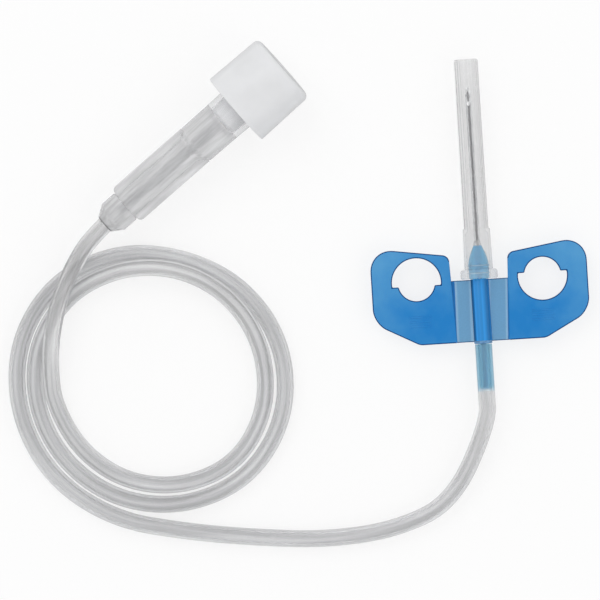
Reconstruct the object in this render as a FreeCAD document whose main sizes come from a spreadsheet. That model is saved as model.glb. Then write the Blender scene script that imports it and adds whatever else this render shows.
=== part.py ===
import FreeCAD, Part
import Sketcher

import math
import os

from FreeCAD import Placement, Rotation, Vector

# Winged infusion set: a sheathed steel needle in a blue hub, two folding wings,
# a coil of clear tubing and a capped female luer connector, lying as it is laid out.
# Millimetres. +Y runs along the needle towards its tip, +X to the right wing, +Z up.
# The floor is z = 0 and the origin is under the middle of needle, hub, wings and sheath.

SIZES = (
    # where things lie
    ("front_y", -6.60, "front face of the wing barrel"),
    ("exit_x", -44.32, "tube end face of the connector"),
    ("exit_y", 2.73, "tube end face of the connector"),
    ("exit_azimuth", 37.6, "heading of the connector, degrees from +X"),
    ("exit_rise", 0.052, "rise of the connector axis per millimetre of its length"),
    # fits
    ("bond_gap", 0.02, "solvent or glue joint, each side"),
    ("seat_gap", 0.05, "between faces that only rest on each other"),
    # steel cannula, 23 gauge
    ("cannula_dia", 0.64, "outside"),
    ("cannula_bore", 0.34, "inside"),
    ("needle_reach", 19.05, "free length in front of the hub nose"),
    ("bevel_len", 2.30, "length of the ground point"),
    ("lancet_len", 1.05, "length of the two side facets of the point"),
    ("lancet_turn", 35.0, "side facets, degrees round the needle from the bevel"),
    ("tip_land", 0.02, "bevel's end above the lowest line of the steel"),
    ("grind_past", 0.02, "ground faces run past the tip"),
    ("grind_over", 0.01, "ground faces run out above the steel"),
    ("cannula_inset", 0.15, "rear end inside the spigot end"),
    ("bead_len", 0.60, "glue bead on the nose"),
    ("bead_tip_dia", 0.72, "glue bead where it ends on the steel"),
    # rigid needle hub
    ("core_dia", 1.60, "inside the barrel"),
    ("nose_dia", 2.20, "land of the nose"),
    ("nose_land", 1.80, "length of that land"),
    ("nose_waist_dia", 1.70, "where the nose starts to narrow faster"),
    ("nose_waist_len", 2.95, "front face to that place"),
    ("nose_tip_dia", 0.90, "end of the nose"),
    ("nose_len", 4.00, "front face to the end of the nose"),
    ("ring_dia", 2.36, "grip rings for the sheath"),
    ("ring_width", 0.16, "one grip ring"),
    ("ring_start", 0.62, "front face to the first ring"),
    ("ring_pitch", 0.46, "ring to ring"),
    ("ring_count", 3, "grip rings"),
    ("spigot_len", 5.40, "length inside the tubing"),
    # soft wing moulding
    ("barrel_dia", 2.20, "outside"),
    ("barrel_len", 7.75, "along the needle"),
    ("barrel_chamfer", 0.14, "rims of the barrel"),
    ("film_thick", 0.28, "thin hinge panel"),
    ("film_len", 7.50, "along the needle"),
    ("hinge_x", 2.50, "fold line from the needle axis"),
    ("hinge_gap", 0.05, "between the two halves of the film"),
    ("wing_thick", 0.62, "wing plate"),
    ("root_rear_x", 3.10, "plate's inner edge at the rear"),
    ("root_front_x", 3.52, "plate's inner edge at its front corner"),
    ("root_front_y", 3.00, "front inner corner, ahead of the barrel"),
    ("wing_reach", 12.97, "needle axis to the wing tip"),
    ("tip_front_y", 4.42, "front outer corner, ahead of the barrel"),
    ("tip_rear_y", 4.63, "rear outer corner, behind the barrel front"),
    ("tail_x", 7.57, "where the slanted rear edge ends"),
    ("root_round", 0.85, "front inner corner"),
    ("front_round", 2.50, "front outer corner"),
    ("rear_round", 2.80, "rear outer corner"),
    ("tail_round", 1.50, "end of the slanted edge"),
    ("edge_round", 0.12, "all edges of the plate"),
    ("hole_x", 7.56, "finger hole from the needle axis"),
    ("hole_large_dia", 5.88, "larger arc of the hole"),
    ("hole_small_dia", 4.38, "smaller arc of the hole"),
    ("hole_step_y", 0.40, "ledges between the arcs, from the hole's centre"),
    # needle sheath
    ("flange_dia", 4.45, "flange"),
    ("flange_len", 1.10, "flange"),
    ("collar_rear_dia", 3.40, "collar at the flange"),
    ("collar_front_dia", 3.25, "collar at its front"),
    ("collar_len", 4.90, "collar"),
    ("shaft_rear_dia", 2.84, "sheath tube at the collar"),
    ("shaft_front_dia", 2.74, "sheath tube at its open end"),
    ("sheath_len", 26.30, "whole sheath"),
    ("sheath_rim", 0.25, "rounded rims of flange and end"),
    ("nose_clear", 0.05, "sheath bore over the grip rings, each side"),
    ("collar_bore_len", 5.40, "wide bore"),
    ("shaft_bore", 1.90, "bore round the needle"),
    ("rib_height", 0.06, "fine lengthwise ribs"),
    ("rib_width", 0.20, "fine lengthwise ribs"),
    ("rib_count", 10, "fine lengthwise ribs"),
    ("rib_foot", 0.10, "bore to the foot of a rib inside the wall"),
    ("rib_lap", 0.20, "rear end of a rib inside the collar"),
    # tubing
    ("tube_dia", 2.05, "outside"),
    ("tube_bore", 1.20, "inside"),
    ("lead_straight", 9.40, "from the barrel to the first bend's corner"),
    ("tail_straight", 2.10, "from the last bend's corner to the connector"),
    # female luer connector
    ("socket_len", 2.40, "tubing inside the connector"),
    ("nozzle_dia", 2.45, "face where the tubing goes in"),
    ("cone_len", 1.26, "cone behind that face"),
    ("neck_dia", 4.10, "neck"),
    ("neck_end", 3.40, "tube end face to the side fins"),
    ("waist_dia", 3.40, "body between the side fins"),
    ("fin_thick", 1.20, "side fins"),
    ("fin_dia", 5.15, "over both fins at the neck"),
    ("fin_round", 0.60, "corner of the fins"),
    ("socket_start", 14.20, "tube end face to the luer socket"),
    ("socket_dia", 5.60, "luer socket outside, at its mouth"),
    ("connector_len", 26.90, "tube end face to the mouth"),
    ("luer_mouth_dia", 4.30, "tapered bore at the mouth"),
    ("luer_depth", 8.90, "tapered bore"),
    ("luer_taper", 0.06, "change of diameter per length"),
    ("passage_dia", 1.20, "bore between tubing and socket"),
    ("lug_span", 7.50, "over both locking lugs"),
    ("lug_width", 2.40, "one lug"),
    ("lug_len", 1.40, "one lug"),
    # cap
    ("cap_rim_dia", 9.50, "open rim"),
    ("cap_end_dia", 9.20, "closed end"),
    ("cap_len", 7.55, "open rim to closed end"),
    ("cap_round", 0.70, "edge of the closed end"),
    ("cap_floor", 1.35, "closed end's thickness"),
    ("skirt_bore", 8.30, "inside of the skirt"),
    ("mouth_gap", 0.15, "connector mouth to the cap's floor"),
    ("plug_gap", 0.03, "plug in the tapered bore, each side"),
    ("plug_short", 0.55, "plug's end to the bottom of the tapered bore"),
    ("plug_chamfer", 0.45, "end of the plug"),
)

# Tubing from hub to connector: distance from the coil's centre, and rise above lying on
# the floor, of each corner of the two loose turns, in the order in which the tube lies.
COIL_CENTRE = (-39.88, -16.13)
COIL_START = 251.4
COIL_STEP = 30.0
COIL_CORNERS = (
    (17.55, 0), (17.08, 0), (16.74, 0), (16.87, 0), (16.65, 0), (15.88, 0),
    (15.20, 0), (15.63, 0), (16.40, 0), (17.02, 0), (16.96, 0), (15.98, 0),
    (15.15, 0), (14.70, 0), (14.50, 0), (14.60, 0), (14.45, 0.10), (13.95, 1.15),
    (13.77, 1.75), (13.75, 1.15), (13.65, 0.15), (13.83, 0), (14.02, 0), (13.17, 0),
    (12.41, 0), (11.87, 0), (12.00, 0.20),
)
# Each corner's arc takes up this share of the shorter run beside it.
ARC_SHARE = 0.45
# Corners between the hub and the coil, and between the coil and the connector.
LEAD_CORNERS = ((-4.75, -33.05, 0.25), (-11.85, -35.95, 0), (-20.20, -36.65, 0),
                (-28.65, -35.85, 0), (-36.55, -34.70, 0))
TAIL_CORNERS = ((-52.00, -14.15, 1.05), (-51.55, -10.10, 2.10), (-50.40, -6.10, 2.32),
                (-48.60, -2.30, 2.37))

doc = FreeCAD.newDocument("winged_infusion_set")
sheet = doc.addObject("Spreadsheet::Sheet", "Sizes")
for row, (alias, number, note) in enumerate(SIZES, start=1):
    sheet.set(f"A{row}", note)
    sheet.set(f"B{row}", str(number))
    sheet.setAlias(f"B{row}", alias)
doc.recompute()


class Size:
    """A length from the sheet, or a sum of such, with its value and its expression."""

    def __init__(self, number, text):
        self.number = float(number)
        self.text = text

    def __add__(self, other):
        other = as_size(other)
        return Size(self.number + other.number, f"({self.text} + {other.text})")

    def __sub__(self, other):
        other = as_size(other)
        return Size(self.number - other.number, f"({self.text} - {other.text})")

    def __mul__(self, other):
        other = as_size(other)
        return Size(self.number * other.number, f"({self.text} * {other.text})")

    def __truediv__(self, other):
        other = as_size(other)
        return Size(self.number / other.number, f"({self.text} / {other.text})")

    def __neg__(self):
        return Size(-self.number, f"(0 - {self.text})")


def as_size(value):
    """A plain number as a Size."""
    return value if isinstance(value, Size) else Size(value, f"{value}")


def cell(alias):
    """The sheet's cell of that name."""
    return Size(sheet.get(alias), f"Sizes.{alias}")


ZERO = as_size(0)
FRONT_Y = cell("front_y")
AXIS_Z = cell("flange_dia") / 2


def new_body(label, at=(ZERO, ZERO, ZERO), rotation=Rotation()):
    """An empty body at a place bound to the sheet."""
    body = doc.addObject("PartDesign::Body", label)
    body.Label = label
    body.Placement = Placement(Vector(*(size.number for size in at)), rotation)
    for letter, size in zip("xyz", at):
        body.setExpression(f"Placement.Base.{letter}", size.text)
    return body


def new_sketch(body, role="XY_Plane", level=ZERO, lean=ZERO):
    """A sketch on one of the body's own origin planes, raised by level.

    It leans by an angle in degrees about its own first axis.
    """
    plane = next(item for item in body.Origin.OriginFeatures if item.Role == role)
    sketch = body.newObject("Sketcher::SketchObject", f"{body.Label}_sketch")
    sketch.AttachmentSupport = (plane, [""])
    sketch.MapMode = "FlatFace"
    sketch.AttachmentOffset = Placement(
        Vector(0, 0, level.number), Rotation(Vector(1, 0, 0), lean.number))
    sketch.setExpression("AttachmentOffset.Base.z", level.text)
    if lean is not ZERO:
        sketch.setExpression("AttachmentOffset.Rotation.Angle", lean.text)
    return sketch


def bind(sketch, kind, geometry, point, size):
    """Hold one coordinate of a point of the sketch at a size."""
    on_axis = -2 if kind == "DistanceX" else -1
    if size is ZERO:
        sketch.addConstraint(Sketcher.Constraint("PointOnObject", geometry, point, on_axis))
    elif size.number < 0:
        index = sketch.addConstraint(
            Sketcher.Constraint(kind, geometry, point, -1, 1, -size.number))
        sketch.setExpression(f"Constraints[{index}]", (-size).text)
    else:
        index = sketch.addConstraint(
            Sketcher.Constraint(kind, -1, 1, geometry, point, size.number))
        sketch.setExpression(f"Constraints[{index}]", size.text)


def polygon(body, corners, role="XY_Plane", level=ZERO, lean=ZERO):
    """A closed sketch through corners given as pairs of sizes."""
    sketch = new_sketch(body, role, level, lean)
    spots = [Vector(x.number, y.number, 0) for x, y in corners]
    count = len(spots)
    for index in range(count):
        sketch.addGeometry(Part.LineSegment(spots[index], spots[(index + 1) % count]))
    for index in range(count):
        sketch.addConstraint(
            Sketcher.Constraint("Coincident", index, 2, (index + 1) % count, 1))
    for index, (x, y) in enumerate(corners):
        bind(sketch, "DistanceX", index, 1, x)
        bind(sketch, "DistanceY", index, 1, y)
    return sketch


def circle(body, x, y, diameter, role="XY_Plane", level=ZERO):
    """A sketch with one circle."""
    sketch = new_sketch(body, role, level)
    sketch.addGeometry(Part.Circle(Vector(x.number, y.number, 0), Vector(0, 0, 1),
                                   diameter.number / 2))
    bind(sketch, "DistanceX", 0, 3, x)
    bind(sketch, "DistanceY", 0, 3, y)
    index = sketch.addConstraint(Sketcher.Constraint("Diameter", 0, diameter.number))
    sketch.setExpression(f"Constraints[{index}]", diameter.text)
    return sketch


def turn(body, corners, cut=False):
    """Turn a profile of (radius, place along the axis) corners about the body's Y axis."""
    sketch = polygon(body, corners)
    kind = "PartDesign::Groove" if cut else "PartDesign::Revolution"
    feature = body.newObject(kind, f"{body.Label}_{'bore' if cut else 'turned'}")
    feature.Profile = sketch
    feature.ReferenceAxis = (sketch, ["V_Axis"])
    feature.Angle = 360
    return feature


def pad(body, sketch, length):
    """Pad a sketch by a size."""
    feature = body.newObject("PartDesign::Pad", f"{body.Label}_pad")
    feature.Profile = sketch
    feature.Length = length.number
    feature.setExpression("Length", length.text)
    return feature


def pocket_through(body, sketch):
    """Cut a sketch through the body on both sides of its plane."""
    feature = body.newObject("PartDesign::Pocket", f"{body.Label}_pocket")
    feature.Profile = sketch
    feature.Type = "ThroughAll"
    feature.SideType = "Symmetric"
    return feature


def rounded(body, base, picks, radius, kind="PartDesign::Fillet"):
    """Fillet or chamfer those edges of a feature that pick accepts."""
    doc.recompute()
    edges = [f"Edge{n}" for n, edge in enumerate(base.Shape.Edges, start=1) if picks(edge)]
    feature = body.newObject(kind, f"{body.Label}_edges")
    feature.Base = (base, edges)
    name = "Radius" if kind == "PartDesign::Fillet" else "Size"
    setattr(feature, name, radius.number)
    feature.setExpression(name, radius.text)
    return feature


def repeated(body, feature, kind, axis, count, **settings):
    """A pattern of one feature, made the tip of its body."""
    pattern = body.newObject(f"PartDesign::{kind}", f"{body.Label}_pattern")
    pattern.Originals = [feature]
    setattr(pattern, "Axis" if kind == "PolarPattern" else "Direction", axis)
    for name, value in settings.items():
        setattr(pattern, name, value.number if isinstance(value, Size) else value)
        if isinstance(value, Size):
            pattern.setExpression(name, value.text)
    pattern.Occurrences = int(count.number)
    pattern.setExpression("Occurrences", count.text)
    body.Tip = pattern
    return pattern


def is_vertical(edge):
    """True for a straight edge along the body's Z axis."""
    start, end = edge.Vertexes[0].Point, edge.Vertexes[-1].Point
    return abs(start.z - end.z) > 0.1 and math.hypot(start.x - end.x, start.y - end.y) < 1e-6


def ring_at(radius, place):
    """A picker of the circular edge with that radius at that place along the Y axis."""
    def picks(edge):
        return (isinstance(edge.Curve, Part.Circle)
                and abs(edge.Curve.Radius - radius.number) < 1e-4
                and abs(edge.Curve.Center.y - place.number) < 1e-4)
    return picks


# Steel cannula: a plain tube with a ground bevel that faces up, and two side facets
# that bring the bevel's front half to a lancet point at the lowest line of the tube.
rear_y = -(cell("barrel_len") + cell("spigot_len") - cell("cannula_inset"))
tip_y = cell("nose_len") + cell("needle_reach")
needle_at = (ZERO, FRONT_Y, AXIS_Z)
cannula = new_body("needle_cannula", needle_at)
half = cell("cannula_dia") / 2
turn(cannula, ((ZERO, rear_y), (half, rear_y), (half, tip_y), (ZERO, tip_y)))
half = cell("cannula_bore") / 2
turn(cannula, ((ZERO, rear_y), (half, rear_y), (half, tip_y), (ZERO, tip_y)), cut=True)
# In the YZ plane the sketch's first axis is the body's Y and its second is Z.
half = cell("cannula_dia") / 2
past = tip_y + cell("grind_past")
over = half + cell("grind_over")
ground = polygon(cannula, (
    (tip_y - cell("bevel_len"), over), (past, cell("tip_land") - half), (past, over)),
    role="YZ_Plane")
pocket_through(cannula, ground)
for side in (-1, 1):
    lean = cell("lancet_turn") * side
    low = Size(-half.number * math.cos(math.radians(lean.number)),
               f"(0 - {half.text} * cos({lean.text}))")
    facet = polygon(cannula, (
        (tip_y - cell("lancet_len"), over), (tip_y, low), (past, low), (past, over)),
        role="YZ_Plane", lean=lean)
    pocket_through(cannula, facet)

# Rigid hub: spigot for the tubing, core in the barrel, ringed nose for the sheath.
hub = new_body("needle_hub", needle_at)
spigot_r = cell("tube_bore") / 2 - cell("bond_gap")
core_r = cell("core_dia") / 2
nose_r = cell("nose_dia") / 2
spigot_end = -(cell("barrel_len") + cell("spigot_len"))
turn(hub, (
    (ZERO, spigot_end), (spigot_r, spigot_end), (spigot_r, -cell("barrel_len")),
    (core_r, -cell("barrel_len")), (core_r, cell("bond_gap")), (nose_r, cell("bond_gap")),
    (nose_r, cell("nose_land")), (cell("nose_waist_dia") / 2, cell("nose_waist_len")),
    (cell("nose_tip_dia") / 2, cell("nose_len")), (ZERO, cell("nose_len"))))
ring_end = cell("ring_start") + cell("ring_width")
ring = turn(hub, (
    (core_r, cell("ring_start")), (cell("ring_dia") / 2, cell("ring_start")),
    (cell("ring_dia") / 2, ring_end), (core_r, ring_end)))
repeated(hub, ring, "LinearPattern", (ring.Profile[0], ["V_Axis"]), cell("ring_count"),
         Length=cell("ring_pitch") * (cell("ring_count") - 1))
half = cell("cannula_dia") / 2 + cell("bond_gap")
turn(hub, ((ZERO, spigot_end), (half, spigot_end), (half, cell("nose_len")),
           (ZERO, cell("nose_len"))), cut=True)

# Glue bead where the steel leaves the nose.
bead = new_body("needle_adhesive", needle_at)
bead_end = cell("nose_len") + cell("bead_len")
turn(bead, ((half, cell("nose_len")), (cell("nose_tip_dia") / 2, cell("nose_len")),
            (cell("bead_tip_dia") / 2, bead_end), (half, bead_end)))

# Wing barrel with the inner halves of both hinge films.
barrel = new_body("wing_sleeve", needle_at)
outer = cell("barrel_dia") / 2
film_front = -cell("seat_gap")
film_rear = -cell("film_len")
solid = turn(barrel, ((ZERO, -cell("barrel_len")), (outer, -cell("barrel_len")),
                      (outer, ZERO), (ZERO, ZERO)))
rim = rounded(barrel, solid, ring_at(outer, -cell("barrel_len")), cell("barrel_chamfer"),
              kind="PartDesign::Chamfer")
film_edge = cell("hinge_x") - cell("hinge_gap") / 2
pad(barrel, polygon(barrel, (
    (-film_edge, film_rear), (film_edge, film_rear),
    (film_edge, film_front), (-film_edge, film_front)), level=cell("film_thick") / -2),
    cell("film_thick"))
half = core_r + cell("bond_gap")
turn(barrel, ((ZERO, -cell("barrel_len")), (half, -cell("barrel_len")), (half, ZERO),
              (ZERO, ZERO)), cut=True)


def wing(label, side):
    """One wing plate with the outer half of its hinge film; side is -1 left, +1 right.

    The finger hole is a large and a small half circle that meet at two ledges. The large
    one is towards the needle tip on the left wing and towards the tubing on the right.
    """
    body = new_body(label, needle_at)
    plate = pad(body, polygon(body, tuple((x * side, y) for x, y in (
        (cell("root_rear_x"), film_rear), (cell("root_front_x"), cell("root_front_y")),
        (cell("wing_reach"), cell("tip_front_y")), (cell("wing_reach"), -cell("tip_rear_y")),
        (cell("tail_x"), film_rear))), level=cell("wing_thick") / -2), cell("wing_thick"))
    corners = (
        (cell("root_front_x"), cell("root_front_y"), "root_round"),
        (cell("wing_reach"), cell("tip_front_y"), "front_round"),
        (cell("wing_reach"), -cell("tip_rear_y"), "rear_round"),
        (cell("tail_x"), film_rear, "tail_round"))
    for x, y, radius in corners:
        def picks(edge, x=x * side, y=y):
            return is_vertical(edge) and math.hypot(
                edge.Vertexes[0].X - x.number, edge.Vertexes[0].Y - y.number) < 1e-3
        plate = rounded(body, plate, picks, cell(radius))
    centre_x = cell("hole_x") * side
    pocket_through(body, circle(body, centre_x, ZERO, cell("hole_small_dia")))
    pocket_through(body, hole_segment(body, centre_x, cell("hole_step_y") * side, -side))
    top = cell("wing_thick").number / 2
    rims = rounded(body, body.Tip, lambda edge: all(
        abs(abs(vertex.Z) - top) < 1e-6 for vertex in edge.Vertexes)
        and abs(edge.CenterOfMass.z) > top - 1e-6, cell("edge_round"))
    film_from = (cell("hinge_x") + cell("hinge_gap") / 2) * side
    film_to = (cell("root_front_x") + cell("edge_round")) * side
    pad(body, polygon(body, (
        (film_from, film_rear + cell("edge_round")), (film_to, film_rear + cell("edge_round")),
        (film_to, film_front), (film_from, film_front)),
        level=cell("film_thick") / -2), cell("film_thick"))
    return body


def hole_segment(body, centre_x, step_y, up):
    """The hole's larger arc and the ledge line that closes it."""
    sketch = new_sketch(body)
    radius = cell("hole_large_dia").number / 2
    rise = math.asin(step_y.number / radius)
    ends = (rise, math.pi - rise) if up > 0 else (math.pi - rise, 2 * math.pi + rise)
    centre = Vector(centre_x.number, 0, 0)
    arc = Part.ArcOfCircle(Part.Circle(centre, Vector(0, 0, 1), radius), *ends)
    sketch.addGeometry(arc)
    sketch.addGeometry(Part.LineSegment(arc.EndPoint, arc.StartPoint))
    sketch.addConstraint(Sketcher.Constraint("Coincident", 0, 2, 1, 1))
    sketch.addConstraint(Sketcher.Constraint("Coincident", 1, 2, 0, 1))
    sketch.addConstraint(Sketcher.Constraint("Horizontal", 1))
    bind(sketch, "DistanceX", 0, 3, centre_x)
    bind(sketch, "DistanceY", 0, 3, ZERO)
    bind(sketch, "DistanceY", 1, 1, step_y)
    index = sketch.addConstraint(Sketcher.Constraint("Radius", 0, radius))
    sketch.setExpression(f"Constraints[{index}]", (cell("hole_large_dia") / 2).text)
    return sketch


left_wing = wing("left_wing", -1)
right_wing = wing("right_wing", 1)

# Needle sheath: flange, collar over the ringed nose, ribbed tube with an open end.
sheath = new_body("needle_sheath", (ZERO, FRONT_Y + cell("seat_gap"), AXIS_Z))
collar_end = cell("flange_len") + cell("collar_len")
sheath_end = cell("sheath_len")
outline = turn(sheath, (
    (ZERO, ZERO), (cell("flange_dia") / 2, ZERO),
    (cell("flange_dia") / 2, cell("flange_len")),
    (cell("collar_rear_dia") / 2, cell("flange_len")),
    (cell("collar_front_dia") / 2, collar_end), (cell("shaft_rear_dia") / 2, collar_end),
    (cell("shaft_front_dia") / 2, sheath_end), (ZERO, sheath_end)))
rounded(sheath, outline, ring_at(cell("flange_dia") / 2, cell("flange_len")),
        cell("sheath_rim"))
rib_side = cell("rib_width") / 2
rib_top = cell("rib_height") + cell("shaft_rear_dia") / 2
rib_foot = cell("shaft_bore") / 2 + cell("rib_foot")
rib_rear = collar_end - cell("rib_lap")
# The rib follows the taper of the sheath tube: its profile lies in the XY plane.
rib = pad(sheath, polygon(sheath, (
    (rib_foot, rib_rear), (rib_top, rib_rear), (rib_top, collar_end),
    (cell("rib_height") + cell("shaft_front_dia") / 2, sheath_end),
    (rib_foot, sheath_end)), level=-rib_side), cell("rib_width"))
repeated(sheath, rib, "PolarPattern", (outline.Profile[0], ["V_Axis"]), cell("rib_count"),
         Angle=360)
wide = cell("ring_dia") / 2 + cell("nose_clear")
narrow = cell("shaft_bore") / 2
turn(sheath, ((ZERO, ZERO), (wide, ZERO), (wide, cell("collar_bore_len")),
              (narrow, cell("collar_bore_len") + (wide - narrow)), (narrow, sheath_end),
              (ZERO, sheath_end)), cut=True)

# Connector and cap share one frame: +Y runs from the tube end face to the mouth.
rim_y = cell("connector_len") + cell("mouth_gap") + cell("cap_floor") - cell("cap_len")
exit_at = (cell("exit_x"), cell("exit_y"),
           cell("cap_rim_dia") / 2 - rim_y * cell("exit_rise"))
tilt = math.degrees(math.asin(cell("exit_rise").number))
exit_turn = Rotation(Vector(0, 0, 1), cell("exit_azimuth").number - 90).multiply(
    Rotation(Vector(1, 0, 0), tilt))
connector = new_body("luer_connector", exit_at, exit_turn)
mouth_y = cell("connector_len")
turn(connector, (
    (ZERO, ZERO), (cell("nozzle_dia") / 2, ZERO), (cell("neck_dia") / 2, cell("cone_len")),
    (cell("neck_dia") / 2, cell("neck_end")), (cell("waist_dia") / 2, cell("neck_end")),
    (cell("waist_dia") / 2, cell("socket_start")), (cell("fin_dia") / 2, cell("socket_start")),
    (cell("socket_dia") / 2, mouth_y), (ZERO, mouth_y)))
fin_pair = pad(connector, polygon(connector, (
    (cell("fin_dia") / -2, cell("neck_end")), (cell("fin_dia") / 2, cell("neck_end")),
    (cell("fin_dia") / 2, cell("socket_start")), (cell("fin_dia") / -2, cell("socket_start"))),
    level=cell("fin_thick") / -2), cell("fin_thick"))


def fin_corner(edge):
    """Picks the two upright edges of the fins at the neck."""
    return is_vertical(edge) and all(
        abs(abs(vertex.X) - cell("fin_dia").number / 2) < 1e-3
        and abs(vertex.Y - cell("neck_end").number) < 1e-3 for vertex in edge.Vertexes)


rounded(connector, fin_pair, fin_corner, cell("fin_round"))
lug_y = mouth_y - cell("lug_len")
pad(connector, polygon(connector, (
    (cell("lug_span") / -2, lug_y), (cell("lug_span") / 2, lug_y),
    (cell("lug_span") / 2, mouth_y), (cell("lug_span") / -2, mouth_y)),
    level=cell("lug_width") / -2), cell("lug_width"))
tube_r = cell("tube_dia") / 2 + cell("bond_gap")
luer_r = cell("luer_mouth_dia") / 2
luer_end_r = luer_r - cell("luer_depth") * cell("luer_taper") / 2
passage_r = cell("passage_dia") / 2
turn(connector, (
    (ZERO, ZERO), (tube_r, ZERO), (tube_r, cell("socket_len")),
    (passage_r, cell("socket_len")), (passage_r, mouth_y - cell("luer_depth")),
    (luer_end_r, mouth_y - cell("luer_depth")), (luer_r, mouth_y), (ZERO, mouth_y)),
    cut=True)

# Cap: skirt round the mouth and a tapered plug in the bore.
cap = new_body("luer_cap", exit_at, exit_turn)
floor_y = mouth_y + cell("mouth_gap")
cap_end = floor_y + cell("cap_floor")
shell = turn(cap, ((ZERO, rim_y), (cell("cap_rim_dia") / 2, rim_y),
                   (cell("cap_end_dia") / 2, cap_end), (ZERO, cap_end)))
rounded(cap, shell, ring_at(cell("cap_end_dia") / 2, cap_end), cell("cap_round"))
turn(cap, ((ZERO, rim_y), (cell("skirt_bore") / 2, rim_y), (cell("skirt_bore") / 2, floor_y),
           (ZERO, floor_y)), cut=True)


def plug_radius(place):
    """The plug's radius at a place along the axis, a gap inside the tapered bore."""
    return luer_r - cell("plug_gap") - (mouth_y - place) * cell("luer_taper") / 2


plug_end = mouth_y - cell("luer_depth") + cell("plug_short")
turn(cap, (
    (ZERO, plug_end), (plug_radius(plug_end) - cell("plug_chamfer"), plug_end),
    (plug_radius(plug_end + cell("plug_chamfer")), plug_end + cell("plug_chamfer")),
    (plug_radius(floor_y), floor_y), (plug_radius(floor_y), floor_y + cell("cap_floor") / 2),
    (ZERO, floor_y + cell("cap_floor") / 2)))


def tubing_corners():
    """Every corner of the tubing's route, from the wing barrel to the connector."""
    lying = (cell("tube_dia") / 2 + cell("seat_gap") / 2).number
    start_y = (FRONT_Y - cell("barrel_len") - cell("seat_gap")).number
    corners = [Vector(0, start_y, AXIS_Z.number),
               Vector(0, start_y - cell("lead_straight").number, AXIS_Z.number)]
    corners += [Vector(x, y, lying + rise) for x, y, rise in LEAD_CORNERS]
    for index, (reach, rise) in enumerate(COIL_CORNERS):
        heading = math.radians(COIL_START - COIL_STEP * index)
        corners.append(Vector(COIL_CENTRE[0] + reach * math.cos(heading),
                              COIL_CENTRE[1] + reach * math.sin(heading), lying + rise))
    corners += [Vector(x, y, lying + rise) for x, y, rise in TAIL_CORNERS]
    exit_point = Vector(*(size.number for size in exit_at))
    along = exit_turn.multVec(Vector(0, 1, 0))
    corners.append(exit_point - along * cell("tail_straight").number)
    corners.append(exit_point + along * (cell("socket_len") - cell("seat_gap")).number)
    return corners


def route_wire(corners):
    """Straight runs joined by tangent arcs, as one wire, with the arcs' radii."""
    edges, radii = [], []
    place = corners[0]
    for before, corner, after in zip(corners, corners[1:], corners[2:]):
        inward, onward = corner - before, after - corner
        half_turn = inward.getAngle(onward) / 2
        reach = ARC_SHARE * min(inward.Length, onward.Length)
        radius = reach / math.tan(half_turn)
        inward.normalize()
        onward.normalize()
        start, end = corner - inward * reach, corner + onward * reach
        to_centre = onward - inward
        to_centre.normalize()
        middle = corner + to_centre * (radius / math.cos(half_turn) - radius)
        edges.append(Part.LineSegment(place, start).toShape())
        edges.append(Part.Arc(start, middle, end).toShape())
        radii.append(radius)
        place = end
    edges.append(Part.LineSegment(place, corners[-1]).toShape())
    return Part.Wire(edges), radii


# Tubing: one sweep for the outside, one for the bore.
path, arc_radii = route_wire(tubing_corners())
route = doc.addObject("Part::Feature", "tubing_route")
route.Shape = path


def tube_sweep(name, diameter):
    """A round section swept along the route."""
    section = doc.addObject("Part::Circle", f"{name}_section")
    section.setExpression("Radius", (diameter / 2).text)
    start = path.Vertexes[0].Point
    section.Placement = Placement(start, Rotation(Vector(0, 0, 1), Vector(0, -1, 0)))
    swept = doc.addObject("Part::Sweep", name)
    swept.Sections = [section]
    swept.Spine = (route, [])
    swept.Solid = True
    swept.Frenet = False
    return swept


tubing = doc.addObject("Part::Cut", "tubing")
tubing.Label = "tubing"
tubing.Base = tube_sweep("tubing_outside", cell("tube_dia"))
tubing.Tool = tube_sweep("tubing_inside", cell("tube_bore"))

doc.recompute()

NODES = (cannula, bead, hub, barrel, left_wing, right_wing, sheath, tubing, connector, cap)


def check_document():
    """Stop if any object failed or any piece is not one valid solid."""
    for item in doc.Objects:
        if "Invalid" in item.State or "Error" in item.State:
            raise RuntimeError(f"{item.Name} failed: {item.State}")
    for node in NODES:
        shape = node.Shape
        if shape.isNull() or not shape.isValid() or len(shape.Solids) != 1:
            raise RuntimeError(f"{node.Label} is not one valid solid")


def report_tubing():
    """Print the arcs' radii and compare the tubing's volume with section times length."""
    section = math.pi / 4 * (cell("tube_dia").number ** 2 - cell("tube_bore").number ** 2)
    print("tubing arc radii:", " ".join(f"{radius:.1f}" for radius in arc_radii))
    print(f"tubing length {path.Length:.1f}, volume {tubing.Shape.Volume:.2f}, "
          f"section times length {section * path.Length:.2f}")


check_document()
report_tubing()
os.makedirs("parts", exist_ok=True)
for node in NODES:
    node.Shape.exportStep(f"parts/{node.Label}.step")
    box = node.Shape.BoundBox
    print(f"{node.Label}: volume {node.Shape.Volume:.3f}, x {box.XMin:.2f} to {box.XMax:.2f}, "
          f"y {box.YMin:.2f} to {box.YMax:.2f}, z {box.ZMin:.2f} to {box.ZMax:.2f}")
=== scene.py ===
"""Winged infusion set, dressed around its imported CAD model.

Inside the classes all lengths are millimetres. A piece is modelled at its bench, about its
own axis, and its seat then sets it into the row's frame in metres.
"""

import logging
import math
from collections.abc import Callable, Sequence
from dataclasses import dataclass, field
from enum import Enum

import bmesh
import bpy
from mathutils import Matrix, Vector

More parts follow.
